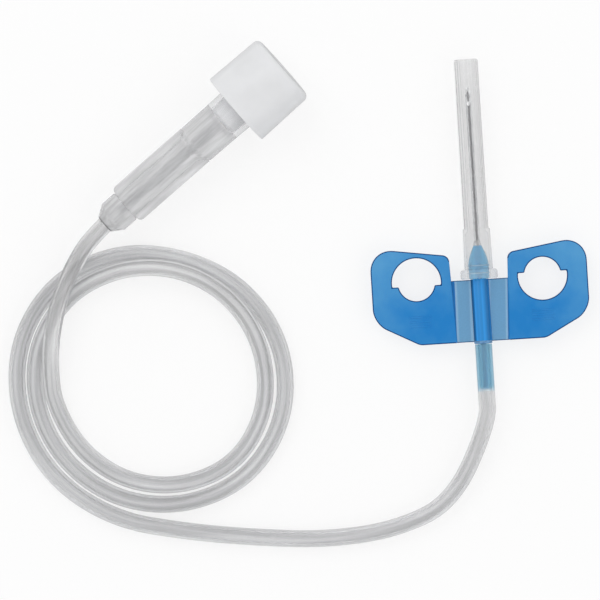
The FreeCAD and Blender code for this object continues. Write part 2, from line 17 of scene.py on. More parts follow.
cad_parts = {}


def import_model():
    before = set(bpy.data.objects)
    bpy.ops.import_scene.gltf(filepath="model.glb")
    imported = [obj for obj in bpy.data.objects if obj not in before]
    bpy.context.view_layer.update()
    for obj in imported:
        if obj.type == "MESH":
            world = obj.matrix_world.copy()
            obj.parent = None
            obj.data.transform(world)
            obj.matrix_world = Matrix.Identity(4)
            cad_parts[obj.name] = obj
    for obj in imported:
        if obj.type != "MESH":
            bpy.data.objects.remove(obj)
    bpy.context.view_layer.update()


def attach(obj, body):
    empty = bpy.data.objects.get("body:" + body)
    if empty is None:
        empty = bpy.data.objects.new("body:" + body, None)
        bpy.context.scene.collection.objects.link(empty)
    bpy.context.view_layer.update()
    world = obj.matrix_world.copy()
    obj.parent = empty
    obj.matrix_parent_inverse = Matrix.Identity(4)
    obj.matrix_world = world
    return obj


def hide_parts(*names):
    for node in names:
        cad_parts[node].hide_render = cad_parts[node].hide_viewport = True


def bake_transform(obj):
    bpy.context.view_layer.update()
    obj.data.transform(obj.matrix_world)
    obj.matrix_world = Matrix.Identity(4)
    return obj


log = logging.getLogger("winged_infusion_set")

MM = 0.001
SMOOTH_ANGLE = math.radians(38)
SHARP_ANGLE = math.radians(32)
WELD = 0.0005
NEAR = 0.01
CUT_NEAR = 1e-4
POINT_NEAR = 1e-5
NOISE_RANGE = (0.3, 0.7)
CLOUD_RANGE = (0.35, 0.65)

# Places that several pieces share.
NEEDLE_Z = 2.225
BARREL_FRONT_Y = -6.60
BARREL_LEN = 7.75
CONNECTOR_AZIMUTH = 37.6

Colour = tuple[float, float, float]
Point = tuple[float, float, float]
Ring = tuple[float, float]
Span = tuple[float, float]
Stops = Sequence[tuple[float, Colour]]


class Side(Enum):
    """Which wing, seen from above with the needle pointing away."""

    LEFT = -1
    RIGHT = 1


class Body(Enum):
    """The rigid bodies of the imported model."""

    SET = "needle_set"
    WING_LEFT = "wing_left"
    WING_RIGHT = "wing_right"
    SHEATH = "sheath"
    CAP = "cap"


class Element(Enum):
    """What is picked in edit mode: the mesh's list of it, and the mode that selects it."""

    VERTS = ("verts", "VERT")
    EDGES = ("edges", "EDGE")
    FACES = ("faces", "FACE")


class Fit(Enum):
    """What one solid does to another."""

    CUT = "DIFFERENCE"
    FUSE = "UNION"


class Source(Enum):
    """Where a pattern takes its coordinates from."""

    OBJECT = "Object"
    UV = "UV"


class Axis(Enum):
    """An axis of a pattern's coordinates."""

    X = "X"
    Y = "Y"
    Z = "Z"


# Bench tools


def select_only(piece: bpy.types.Object) -> None:
    """Select one object, and no other, and make it the active one.

    Args:
        piece: The object.
    """
    bpy.ops.object.select_all(action="DESELECT")
    piece.select_set(True)
    bpy.context.view_layer.objects.active = piece


def start_piece(name: str, add: Callable[..., object], **settings: object) -> bpy.types.Object:
    """Add a primitive with nothing else selected, and open it in edit mode.

    Args:
        name: The new object's name.
        add: The primitive operator.
        **settings: What the operator is given.

    Returns:
        The new object, in edit mode and selected all over.
    """
    bpy.ops.object.select_all(action="DESELECT")
    add(**settings)
    piece = bpy.context.object
    piece.name = piece.data.name = name
    bpy.ops.object.mode_set(mode="EDIT")
    return piece


def close_piece() -> None:
    """Weld doubles, point the faces outwards and leave edit mode."""
    bpy.ops.mesh.select_all(action="SELECT")
    bpy.ops.mesh.remove_doubles(threshold=WELD)
    bpy.ops.mesh.normals_make_consistent(inside=False)
    bpy.ops.object.mode_set(mode="OBJECT")


def pick(piece: bpy.types.Object, part: Element, wanted: Callable[[object], bool]) -> int:
    """Select, in edit mode, the elements that a test accepts and no others.

    Args:
        piece: The object in edit mode.
        part: What is picked.
        wanted: The test of one element.

    Returns:
        How many were selected.
    """
    listed, mode = part.value
    bpy.ops.mesh.select_mode(type=mode)
    bpy.ops.mesh.select_all(action="DESELECT")
    mesh = bmesh.from_edit_mesh(piece.data)
    chosen = [element for element in getattr(mesh, listed) if wanted(element)]
    for element in chosen:
        element.select_set(True)
    mesh.select_flush_mode()
    bmesh.update_edit_mesh(piece.data)
    return len(chosen)


def form(size: Point, middle: Point) -> None:
    """Give the unit primitive that is open in edit mode its size and its middle."""
    bpy.ops.transform.resize(value=size, center_override=(0, 0, 0))
    bpy.ops.transform.translate(value=middle)


def extrude_up(height: float) -> None:
    """Extrude what is selected in edit mode along the bench's Z."""
    bpy.ops.mesh.extrude_region_move(TRANSFORM_OT_translate={"value": (0, 0, height)})


def cut_away(point: Point, outward: Sequence[float], filled: bool = False,
             near: float = CUT_NEAR) -> None:
    """Cut all that is open in edit mode with a plane, and clear its outer side.

    Args:
        point: A point of the plane.
        outward: The plane's normal, which points at what goes.
        filled: True where the cut is closed with a face.
        near: How near to the plane a vertex counts as on it.
    """
    bpy.ops.mesh.select_all(action="SELECT")
    bpy.ops.mesh.bisect(plane_co=point, plane_no=outward, clear_outer=True, use_fill=filled,
                        threshold=near)


def apply_modifier(piece: bpy.types.Object, kind: str, **settings: object) -> None:
    """Give a piece one modifier and apply it.

    Args:
        piece: The object.
        kind: The modifier's type.
        **settings: Its settings.
    """
    select_only(piece)
    modifier = piece.modifiers.new(kind.lower(), kind)
    for name, value in settings.items():
        setattr(modifier, name, value)
    bpy.ops.object.modifier_apply(modifier=modifier.name)


def combine(piece: bpy.types.Object, tool: bpy.types.Object, fit: Fit) -> None:
    """Cut one solid with another, or fuse it on, and remove the tool.

    Args:
        piece: The object that stays.
        tool: The object that is used up.
        fit: What the tool does.
    """
    apply_modifier(piece, "BOOLEAN", object=tool, operation=fit.value, solver="EXACT")
    bpy.data.objects.remove(tool)


def shade(piece: bpy.types.Object) -> None:
    """Shade a piece smooth between its sharp edges."""
    select_only(piece)
    bpy.ops.object.shade_smooth_by_angle(angle=SMOOTH_ANGLE)


def soften(piece: bpy.types.Object, width: float, segments: int) -> None:
    """Round a piece's sharp edges, short ones too, and shade it.

    Args:
        piece: The object.
        width: The rounding's width.
        segments: Faces across each rounding.
    """
    apply_modifier(piece, "BEVEL", width=width, segments=segments, limit_method="ANGLE",
                   angle_limit=SHARP_ANGLE, use_clamp_overlap=False)
    shade(piece)


def turned(name: str, rings: Sequence[Ring], sides: int = 64, hollow: bool = False
           ) -> bpy.types.Object:
    """Turn a body about the bench's Z from one circle, extruded from ring to ring.

    Args:
        name: The new object's name.
        rings: Radius and place along the axis of each ring of the outline, in order.
        sides: Faces round the body.
        hollow: True where the outline comes back to its first ring, as on a bored body.

    Returns:
        The closed body in object mode.
    """
    radius, place = rings[0]
    piece = start_piece(name, bpy.ops.mesh.primitive_circle_add, vertices=sides,
                        radius=radius, fill_type="NOTHING" if hollow else "NGON")
    bpy.ops.transform.translate(value=(0, 0, place))
    outline = [*rings[1:], rings[0]] if hollow else rings[1:]
    for next_radius, next_place in outline:
        extrude_up(next_place - place)
        ratio = next_radius / radius
        bpy.ops.transform.resize(value=(ratio, ratio, 1), center_override=(0, 0, next_place))
        radius, place = next_radius, next_place
    close_piece()
    return piece


def arc(radius: float, place: float, bend: float, start: float, end: float,
        steps: int) -> list[Ring]:
    """Rings along a rounded corner of an outline.

    Args:
        radius: Radial place of the rounding's centre.
        place: Axial place of the rounding's centre.
        bend: The rounding's own radius.
        start: First angle in degrees, from the radial direction towards +axis.
        end: Last angle in degrees.
        steps: Number of spans.

    Returns:
        The rings, first to last.
    """
    angles = [math.radians(start + (end - start) * step / steps) for step in range(steps + 1)]
    return [(radius + bend * math.cos(angle), place + bend * math.sin(angle))
            for angle in angles]


def beside(radius: float, place: float, steps: Sequence[Ring]) -> list[Ring]:
    """Rings at small steps, radial and axial, from one corner of an outline."""
    return [(radius + across, place + along) for across, along in steps]


@dataclass(frozen=True)
class Seat:
    """Where a bench lies in the row's frame.

    Attributes:
        origin: The bench's origin.
        turn: The bench's rotation.
    """

    origin: Point
    turn: Matrix = field(default_factory=lambda: Matrix.Identity(4))

    def matrix(self) -> Matrix:
        """The matrix from the bench's millimetres to the row's metres."""
        return Matrix.Scale(MM, 4) @ Matrix.Translation(self.origin) @ self.turn

    def place(self, piece: bpy.types.Object) -> None:
        """Move a finished piece from the bench to its seat, and apply that to its mesh.

        Args:
            piece: The object.
        """
        select_only(piece)
        piece.matrix_world = self.matrix() @ piece.matrix_world
        bpy.ops.object.transform_apply(location=True, rotation=True, scale=True)

    def point(self, x: float, y: float, z: float) -> Vector:
        """A point of the bench in the row's frame, in metres."""
        return self.matrix() @ Vector((x, y, z))


def needle_seat(rear_y: float) -> Seat:
    """The seat of what is turned about the needle's axis, with its Z towards the tip."""
    return Seat((0, rear_y, NEEDLE_Z), Matrix.Rotation(math.radians(-90), 4, "X"))


def settle(piece: bpy.types.Object, seat: Seat, body: Body, node: str) -> None:
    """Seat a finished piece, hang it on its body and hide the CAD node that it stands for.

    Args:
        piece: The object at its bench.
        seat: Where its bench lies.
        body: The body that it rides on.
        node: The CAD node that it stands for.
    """
    seat.place(piece)
    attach(piece, body.value)
    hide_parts(node)


# Finishes


def grey(level: float) -> Colour:
    """A neutral colour."""
    return level, level, level


class Shading:
    """One material's nodes, with a Principled shader and millimetre coordinates."""

    def __init__(self, name: str) -> None:
        """Start a material with its shader linked to its output.

        Args:
            name: The material's name.
        """
        self.material = bpy.data.materials.new(name)
        self.material.use_nodes = True
        self.tree = self.material.node_tree
        self.tree.nodes.clear()
        self.shader = self.add("ShaderNodeBsdfPrincipled")
        self.output = self.add("ShaderNodeOutputMaterial")
        self.link(self.shader.outputs["BSDF"], self.output.inputs["Surface"])

    def add(self, kind: str, **settings: object) -> bpy.types.Node:
        """Add a node and set its properties.

        Args:
            kind: The node's type.
            **settings: Its properties.

        Returns:
            The node.
        """
        node = self.tree.nodes.new(kind)
        for name, value in settings.items():
            setattr(node, name, value)
        return node

    def link(self, start: bpy.types.NodeSocket, end: bpy.types.NodeSocket) -> None:
        """Join two sockets."""
        self.tree.links.new(start, end)

    def place(self, source: Source = Source.OBJECT, grain: Point = (1, 1, 1),
              turn: float = 0.0) -> bpy.types.NodeSocket:
        """Coordinates on the piece, counted in grains.

        Args:
            source: The coordinates that are read.
            grain: A grain's length along each axis, in millimetres, or in parts of the map
                with a UV.
            turn: Angle of the grain's first axis about Z, in degrees.

        Returns:
            The vector socket.
        """
        coordinates = self.add("ShaderNodeTexCoord")
        mapping = self.add("ShaderNodeMapping", vector_type="TEXTURE")
        unit = MM if source is Source.OBJECT else 1.0
        mapping.inputs["Scale"].default_value = [unit * length for length in grain]
        mapping.inputs["Rotation"].default_value = (0, 0, math.radians(turn))
        self.link(coordinates.outputs[source.value], mapping.inputs["Vector"])
        return mapping.outputs["Vector"]

    def parts(self, vector: bpy.types.NodeSocket) -> bpy.types.NodeOutputs:
        """Take a vector apart.

        Args:
            vector: The vector socket.

        Returns:
            Its X, Y and Z sockets by those names.
        """
        node = self.add("ShaderNodeSeparateXYZ")
        self.link(vector, node.inputs[0])
        return node.outputs

    def noise(self, vector: bpy.types.NodeSocket, scale: float, detail: float = 2.0,
              fade: float = 0.5) -> bpy.types.NodeSocket:
        """A noise pattern's value.

        Args:
            vector: The coordinates.
            scale: Its scale per unit of the coordinates.
            detail: How many finer octaves it has.
            fade: How strong each finer octave is, as a share of the last.

        Returns:
            The value socket.
        """
        node = self.add("ShaderNodeTexNoise")
        for name, number in (("Scale", scale), ("Detail", detail), ("Roughness", fade)):
            node.inputs[name].default_value = number
        self.link(vector, node.inputs["Vector"])
        return node.outputs["Fac"]

    def ramp(self, value: bpy.types.NodeSocket, stops: Stops) -> bpy.types.NodeSocket:
        """A colour ramp over a value.

        Args:
            value: The socket that drives it.
            stops: Position and colour of each stop.

        Returns:
            The colour socket.
        """
        node = self.add("ShaderNodeValToRGB")
        elements = node.color_ramp.elements
        while len(elements) < len(stops):
            elements.new(0.5)
        for element, (position, colour) in zip(elements, stops):
            element.position = position
            element.color = (*colour, 1)
        self.link(value, node.inputs["Fac"])
        return node.outputs["Color"]

    def span(self, value: bpy.types.NodeSocket, source: Span, target: Span
             ) -> bpy.types.NodeSocket:
        """Map a value from one range to another, held at its ends.

        Args:
            value: The value.
            source: Its lowest and highest.
            target: What they become.

        Returns:
            The mapped value.
        """
        node = self.add("ShaderNodeMapRange")
        for name, number in zip(("From Min", "From Max", "To Min", "To Max"),
                                (*source, *target)):
            node.inputs[name].default_value = number
        self.link(value, node.inputs["Value"])
        return node.outputs["Result"]

    def sum(self, first: bpy.types.NodeSocket, second: bpy.types.NodeSocket
            ) -> bpy.types.NodeSocket:
        """Add two values.

        Args:
            first: One value.
            second: The other.

        Returns:
            Their sum.
        """
        node = self.add("ShaderNodeMath", operation="ADD")
        self.link(first, node.inputs[0])
        self.link(second, node.inputs[1])
        return node.outputs[0]

    def multiply(self, first: bpy.types.NodeSocket, second: bpy.types.NodeSocket
                 ) -> bpy.types.NodeSocket:
        """Multiply two colours.

        Args:
            first: One colour.
            second: The other.

        Returns:
            Their product.
        """
        node = self.add("ShaderNodeMix", data_type="RGBA", blend_type="MULTIPLY")
        node.inputs["Factor"].default_value = 1.0
        self.link(first, node.inputs["A"])
        self.link(second, node.inputs["B"])
        return node.outputs["Result"]

    def across(self, bands: Stops) -> bpy.types.NodeSocket:
        """A colour by how far the surface turns from the view, which paints light and shade.

        Args:
            bands: Position and colour of each band, from 0 square on to 1 at the edge.

        Returns:
            The colour socket.
        """
        weight = self.add("ShaderNodeLayerWeight")
        weight.inputs["Blend"].default_value = 0.5
        return self.ramp(weight.outputs["Facing"], bands)

    def shaded(self, colour: bpy.types.NodeSocket, pattern: bpy.types.NodeSocket,
               loss: float) -> bpy.types.NodeSocket:
        """A colour of which a pattern takes away a share.

        Args:
            colour: The colour.
            pattern: A noise pattern.
            loss: The most that it takes away.

        Returns:
            The shaded colour.
        """
        darker, lighter = CLOUD_RANGE
        return self.multiply(colour, self.ramp(pattern, ((darker, grey(1.0 - loss)),
                                                         (lighter, grey(1.0)))))

    def paint(self, colour: bpy.types.NodeSocket) -> None:
        """Give the surface its colour."""
        self.link(colour, self.shader.inputs["Base Color"])

    def roughen(self, pattern: bpy.types.NodeSocket, limits: Span) -> None:
        """Give the surface a roughness between two limits, by a noise pattern."""
        self.link(self.span(pattern, NOISE_RANGE, limits), self.shader.inputs["Roughness"])

    def bump(self, height: bpy.types.NodeSocket, strength: float, depth: float) -> None:
        """Give the surface relief.

        Args:
            height: The pattern.
            strength: How much of the relief is used.
            depth: Its depth in millimetres.
        """
        node = self.add("ShaderNodeBump")
        node.inputs["Strength"].default_value = strength
        node.inputs["Distance"].default_value = depth * MM
        self.link(height, node.inputs["Height"])
        self.link(node.outputs["Normal"], self.shader.inputs["Normal"])

    def set(self, **values: object) -> None:
        """Set the shader's own sockets; an underscore stands for a space in a name."""
        for name, value in values.items():
            self.shader.inputs[name.replace("_", " ")].default_value = value


@dataclass(frozen=True)
class Grain:
    """Fine grain of a surface, with what it does to gloss and relief.

    Attributes:
        scale: Grains to a unit of the coordinates.
        detail: How many finer octaves the noise has.
        rough: Least and most roughness.
        strength: Strength of the relief.
        depth: Depth of the relief.
        fade: How strong each finer octave is.
    """

    scale: float
    detail: float
    rough: Span
    strength: float
    depth: float
    fade: float = 0.5

    def over(self, shading: Shading, where: bpy.types.NodeSocket) -> bpy.types.NodeSocket:
        """Give a surface this grain.

        Args:
            shading: The material.
            where: The coordinates.

        Returns:
            The grain's pattern.
        """
        pattern = shading.noise(where, self.scale, self.detail, self.fade)
        shading.roughen(pattern, self.rough)
        shading.bump(pattern, self.strength, self.depth)
        return pattern


@dataclass(frozen=True)
class Tint:
    """A tint along one axis of the row's frame, for what shows through and for painted light and
    shade.

    Attributes:
        axis: The axis.
        reach: Where its first and its last stop lie.
        stops: Position from 0 to 1 and colour of each stop.
    """

    axis: Axis
    reach: Span
    stops: Stops

    def over(self, shading: Shading, colour: bpy.types.NodeSocket) -> bpy.types.NodeSocket:
        """The colour with the tint over it.

        Args:
            shading: The material.
            colour: The colour.

        Returns:
            The tinted colour.
        """
        place = shading.parts(shading.place())[self.axis.value]
        along = shading.span(place, self.reach, (0.0, 1.0))
        return shading.multiply(colour, shading.ramp(along, self.stops))


@dataclass(frozen=True)
class ClearPlastic:
    """Clear or tinted see-through plastic.

    Attributes:
        name: The material's name.
        bands: Colour by how far the surface turns from the view, from 0 square on to 1 at
        the edge, where the way through the plastic is longest. The bands paint light and shade
        into the colour: darker towards that edge, with painted pale middles and dark lines.
        roughness: Surface roughness.
        index: Index of refraction.
        body: Share of light that the plastic scatters instead of passing it on.
        ripple: Strength of the faint moulding ripple.
        loss: Share of the colour that the ripple takes away.
        grain: Length of the ripple along each axis, as in Shading.place.
        turn: Angle of the ripple's first axis about Z, in degrees.
        source: Coordinates of the ripple.
        tint: A further tint along one axis, if any.
        depth: Depth of the ripple.
        spread: How far the roughness varies, as a share of it.
        shine: Specular level.
    """

    name: str
    bands: Stops
    roughness: float
    index: float
    body: float = 0.0
    ripple: float = 0.05
    loss: float = 0.04
    grain: Point = (0.7, 0.7, 0.7)
    turn: float = 0.0
    source: Source = Source.OBJECT
    tint: Tint | None = None
    depth: float = 0.02
    spread: float = 0.2
    shine: float = 0.5

    def make(self) -> bpy.types.Material:
        """Make the material.

        Returns:
            The material.
        """
        shading = Shading(self.name)
        shading.set(Transmission_Weight=1.0 - self.body, IOR=self.index,
                    Specular_IOR_Level=self.shine)
        pattern = shading.noise(shading.place(self.source, self.grain, self.turn), 1.0)
        colour = shading.shaded(shading.across(self.bands), pattern, self.loss)
        if self.tint is not None:
            colour = self.tint.over(shading, colour)
        shading.paint(colour)
        shading.roughen(pattern, (self.roughness * (1.0 - self.spread),
                                  self.roughness * (1.0 + self.spread)))
        if self.ripple > 0:
            shading.bump(pattern, self.ripple, self.depth)
        return shading.material


@dataclass(frozen=True)
class WingPlastic:
    """Soft blue moulded plastic of the wings, paler towards the outer and front edges by painted
    light.

    The coordinates are the moulding's own flat millimetres, so they turn with each wing.

    Attributes:
        name: The material's name.
        deep: The colour by the root.
        pale: The colour at the outer front corner.
        shine: Specular level.
        index: Index of refraction.
        scatter: Share of light that scatters under the surface.
        scatter_scale: How deep it scatters.
        scatter_reach: How far each colour scatters, as a share of that.
        outward: Where the paling starts and ends to the side.
        outward_pale: How much of it the side gives.
        forward: Where the paling starts and ends to the front.
        forward_pale: How much of it the front gives.
        cloud: Scale of the faint clouds in the colour.
        drift: How far the clouds shift it.
        grain: The fine grain.
    """

    name: str = "wing_blue_vinyl"
    deep: Colour = (0.010, 0.217, 0.588)
    pale: Colour = (0.086, 0.342, 0.655)
    shine: float = 0.25
    index: float = 1.46
    scatter: float = 0.08
    scatter_scale: float = 0.6
    scatter_reach: Point = (0.35, 0.6, 1.0)
    outward: Span = (7.0, 13.2)
    outward_pale: float = 0.55
    forward: Span = (-4.0, 4.2)
    forward_pale: float = 0.65
    cloud: float = 0.35
    drift: float = 0.18
    grain: Grain = Grain(6.0, 4, (0.34, 0.46), 0.12, 0.015)

    def make(self) -> bpy.types.Material:
        """Make the material.

        Returns:
            The material.
        """
        shading = Shading(self.name)
        shading.set(Specular_IOR_Level=self.shine, Subsurface_Weight=self.scatter,
                    IOR=self.index, Subsurface_Scale=self.scatter_scale * MM,
                    Subsurface_Radius=self.scatter_reach)
        where = shading.place(Source.UV)
        parts = shading.parts(where)
        # Painted light: paler towards the outer and front edges.
        paling = shading.sum(
            shading.span(parts["X"], self.outward, (0.0, self.outward_pale)),
            shading.span(parts["Y"], self.forward, (0.0, self.forward_pale)))
        clouds = shading.span(shading.noise(where, self.cloud), NOISE_RANGE,
                              (-self.drift, self.drift))
        shading.paint(shading.ramp(shading.sum(paling, clouds),
                                   ((0.0, self.deep), (1.0, self.pale))))
        self.grain.over(shading, where)
        return shading.material


@dataclass(frozen=True)
class FilmPlastic:
    """The same plastic where it is thin enough to let light through.

    Attributes:
        name: The material's name.
        root: Where the painted highlight line in front of the plate crosses the film's front
            edge.
        slant: How far that line moves outwards per millimetre towards the rear.
        tint: The film's colour.
        pale: Colour of the painted highlight line, and of another pale line beside the barrel.
        deep: Colour past the line, as deep as the plate.
        strip: The stretch from the barrel to the plate that the colours share.
        barrel_line: Where the line beside the barrel fades, as shares of that stretch.
        line_steps: Where the line by the plate rises, starts, ends and has turned deep.
        clear: Share of light that passes.
        index: Index of refraction.
        shine: Specular level.
        grain: The fine grain.
        loss: Share of the colour that the grain takes away.
    """

    name: str
    root: float
    slant: float
    tint: Colour = (0.212, 0.475, 0.730)
    pale: Colour = (0.360, 0.620, 0.860)
    deep: Colour = (0.012, 0.195, 0.560)
    strip: Span = (1.0, 4.0)
    barrel_line: Span = (0.08, 0.12)
    line_steps: tuple[float, float, float, float] = (-0.10, -0.06, -0.01, 0.02)
    clear: float = 0.55
    index: float = 1.3
    shine: float = 0.4
    grain: Grain = Grain(5.0, 4, (0.30, 0.42), 0.1, 0.01)
    loss: float = 0.07

    def make(self) -> bpy.types.Material:
        """Make the material.

        Returns:
            The material.
        """
        shading = Shading(self.name)
        shading.set(Transmission_Weight=self.clear, IOR=self.index,
                    Specular_IOR_Level=self.shine)
        where = shading.place(Source.UV)
        parts = shading.parts(where)
        across = shading.add("ShaderNodeMath", operation="MULTIPLY_ADD")
        across.inputs[1].default_value = self.slant
        shading.link(parts["Y"], across.inputs[0])
        shading.link(parts["X"], across.inputs[2])
        start, end = self.strip
        # The pale line in front of the plate is a painted highlight.
        line = (self.root - start) / (end - start)
        places = (*self.barrel_line, *(line + step for step in self.line_steps))
        colours = (self.pale, self.tint, self.tint, self.pale, self.pale, self.deep)
        body = shading.ramp(shading.span(across.outputs[0], self.strip, (0.0, 1.0)),
                            tuple(zip(places, colours)))
        fine = self.grain.over(shading, where)
        shading.paint(shading.shaded(body, fine, self.loss))
        return shading.material


@dataclass(frozen=True)
class NeedleSteel:
    """Drawn stainless tube with fine lengthwise polish lines and a painted reflection.

    Attributes:
        name: The material's name.
        bands: A painted reflection by how far the surface turns from the view.
        lines: Width of the polish lines across, along and in height.
        grain: What the lines do to gloss and relief.
        loss: Share of the colour that the lines take away.
    """

    name: str = "needle_steel"
    # Painted reflection: dark in a narrow line where the steel faces the view, pale towards its
    # edges.
    bands: Stops = (
        (0.0, (0.16, 0.161, 0.167)), (0.02, (0.20, 0.201, 0.207)),
        (0.08, (0.78, 0.785, 0.80)), (1.0, (0.84, 0.845, 0.86)))
    lines: Point = (0.1, 1.6, 0.1)
    grain: Grain = Grain(1.0, 5, (0.2, 0.34), 0.1, 0.004, fade=0.6)
    loss: float = 0.3

    def make(self) -> bpy.types.Material:
        """Make the material.

        Returns:
            The material.
        """
        shading = Shading(self.name)
        shading.set(Metallic=1.0)
        lines = self.grain.over(shading, shading.place(grain=self.lines))
        shading.paint(shading.shaded(shading.across(self.bands), lines, self.loss))
        return shading.material


@dataclass(frozen=True)
class CapPlastic:
    """White moulded plastic of the cap, with a hint of light passing into it, and painted shade.

    Attributes:
        name: The material's name.
        colour: Its colour.
        rim: Painted shade: what is left of the colour where the surface turns edge on.
        onset: How much of that painted shade has come at rim_start.
        rim_turns: How far the surface turns before the painted shade starts, and at its onset.
        shine: Specular level.
        scatter: Share of light that scatters under the surface.
        scatter_scale: How deep it scatters.
        cloud: Scale of the faint clouds in the colour.
        cloud_share: What the clouds leave of the colour.
        grain: The fine grain.
    """

    name: str = "cap_white"
    colour: Colour = (0.822, 0.828, 0.842)
    rim: float = 0.55
    onset: float = 0.3
    rim_turns: Span = (0.5, 0.8)
    shine: float = 0.35
    scatter: float = 0.2
    scatter_scale: float = 1.0
    cloud: float = 0.35
    cloud_share: float = 0.96
    grain: Grain = Grain(9.0, 3, (0.36, 0.48), 0.1, 0.01)

    def make(self) -> bpy.types.Material:
        """Make the material.

        Returns:
            The material.
        """
        shading = Shading(self.name)
        shading.set(Subsurface_Weight=self.scatter, Subsurface_Scale=self.scatter_scale * MM,
                    Subsurface_Radius=(1.0, 1.0, 1.0), Specular_IOR_Level=self.shine)
        where = shading.place()
        low = tuple(channel * self.cloud_share for channel in self.colour)
        clouds = shading.ramp(shading.noise(where, self.cloud),
                              tuple(zip(CLOUD_RANGE, (low, self.colour))))
        # Painted shade: darker where the surface turns edge on.
        partly = 1.0 - self.onset + self.onset * self.rim
        outline = shading.across(tuple(zip(
            (*self.rim_turns, 1.0), (grey(1.0), grey(partly), grey(self.rim)))))
        shading.paint(shading.multiply(clouds, outline))
        self.grain.over(shading, where)
        return shading.material


Finish = ClearPlastic | WingPlastic | FilmPlastic | NeedleSteel | CapPlastic

# Painted light and dark bands along the barrel, for the light that its round wall bends.
BARREL_PAINTED_LIGHT = Tint(Axis.X, (-1.1, 1.1), tuple((place, grey(share)) for place, share in (
    (0.02, 0.36), (0.10, 0.46), (0.16, 0.95), (0.28, 0.86), (0.50, 0.80), (0.57, 1.0),
    (0.64, 0.84), (0.78, 0.62), (0.90, 0.56), (0.96, 0.85))))
# The spigot's end, seen through the tube.
BLUE_END = Tint(Axis.Y, (-20.1, -19.4), (
    (0.0, (1, 1, 1)), (0.6, (0.72, 0.86, 0.94)), (1.0, (0.58, 0.82, 0.94))))
# Painted shade: lower strands of the coil are a little darker than those that lie on them.
COIL_PAINTED_SHADE = Tint(Axis.Z, (2.0, 2.7), ((0.0, (0.965, 0.967, 0.973)), (1.0, (1, 1, 1))))
# Moulding ripple along the tube's map and the connector; its streaks are partly painted
# highlights.
TUBE_RIPPLE = (0.0625, 0.111, 1.0)
CONNECTOR_RIPPLE = (5.0, 0.5, 0.5)

STEEL = NeedleSteel()
STEEL_GROUND = NeedleSteel("needle_ground", (
    (0.0, (0.80, 0.805, 0.815)), (1.0, (0.88, 0.885, 0.895))))
# The clear glue, nearly white with some white body: a painted glint round the steel.
GLUE_CLEAR = ClearPlastic("needle_glue", (
    (0.0, grey(0.98)), (0.6, grey(0.98)), (1.0, grey(0.4))), 0.03, 1.3, body=0.3)
HUB_BLUE = ClearPlastic("hub_blue_clear", (
    (0.0, (0.14, 0.60, 0.95)), (0.35, (0.17, 0.62, 0.94)), (1.0, (0.56, 0.84, 0.95))),
    0.05, 1.2, body=0.5)
SPIGOT_BLUE = ClearPlastic("hub_blue_spigot", (
    (0.0, (0.66, 0.92, 0.99)), (0.45, (0.60, 0.89, 0.97)), (1.0, (0.28, 0.58, 0.76))),
    0.05, 1.06, body=0.12)
# Grip rings: paler where they face the view, painted light, and deeper blue at their sides.
RING_BLUE = ClearPlastic("hub_blue_ring", (
    (0.0, (0.50, 0.80, 0.98)), (0.5, (0.40, 0.72, 0.96)), (1.0, (0.05, 0.30, 0.62))),
    0.08, 1.2, body=0.6)
BARREL_BLUE = ClearPlastic("barrel_blue_vinyl", (
    (0.0, (0.045, 0.40, 0.98)), (0.35, (0.04, 0.37, 0.96)), (1.0, (0.02, 0.16, 0.50))),
    0.12, 1.3, body=0.88, loss=0.10, grain=(0.25, 30.0, 0.25), tint=BARREL_PAINTED_LIGHT)
# The barrel's rear rim: bumps, and a paler blue that paints glints on it.
RIM_BLUE = ClearPlastic("barrel_blue_rim", (
    (0.0, (0.30, 0.62, 0.98)), (1.0, (0.22, 0.52, 0.90))),
    0.10, 1.3, body=0.6, ripple=0.3, loss=0.45, grain=(0.22, 0.22, 0.22))
WING_BLUE = WingPlastic()
# Painted shade: the plates' edges and the films' ends are painted dark.
WING_EDGE = WingPlastic("wing_blue_edge", (0.005, 0.065, 0.220), (0.005, 0.065, 0.220), 0.05)
FILM_BLUE = {Side.LEFT: FilmPlastic("film_blue_left", 2.98, 0.019),
             Side.RIGHT: FilmPlastic("film_blue_right", 3.34, -0.050)}
# Painted light and shade across the tube: a dark line for its bore's edge and a darker rim.
TUBE_CLEAR = ClearPlastic("tube_clear_vinyl", (
    (0.0, (0.995, 0.995, 0.998)), (0.13, (0.99, 0.99, 0.993)), (0.19, (0.88, 0.883, 0.89)),
    (0.26, (0.985, 0.986, 0.99)), (0.45, (0.96, 0.962, 0.967)), (0.70, (0.85, 0.853, 0.86)),
    (1.0, (0.46, 0.465, 0.48))),
    0.08, 1.28, body=0.24, ripple=0.04, loss=0.26, grain=TUBE_RIPPLE, source=Source.UV,
    tint=COIL_PAINTED_SHADE)
# Painted light and shade across the tube over the spigot, dark towards its rim.
TUBE_BLUE = ClearPlastic("tube_over_spigot", (
    (0.0, (0.96, 0.98, 0.99)), (0.15, (0.95, 0.975, 0.985)), (0.24, (0.72, 0.83, 0.89)),
    (0.60, (0.64, 0.75, 0.82)), (1.0, (0.28, 0.39, 0.48))),
    0.08, 1.2, body=0.2, ripple=0.04, loss=0.15, grain=TUBE_RIPPLE, source=Source.UV,
    tint=BLUE_END)
TUBE_BOND = ClearPlastic("tube_in_socket", (
    (0.0, grey(0.97)), (0.6, grey(0.96)), (1.0, (0.80, 0.80, 0.81))), 0.05, 1.08, body=0.05)
CONNECTOR_CLEAR = ClearPlastic("connector_clear", (
    (0.0, (0.85, 0.852, 0.86)), (0.5, (0.83, 0.833, 0.84)), (1.0, (0.74, 0.745, 0.76))),
    0.10, 1.11, body=0.30, ripple=0.08, loss=0.24, grain=CONNECTOR_RIPPLE,
    turn=CONNECTOR_AZIMUTH)
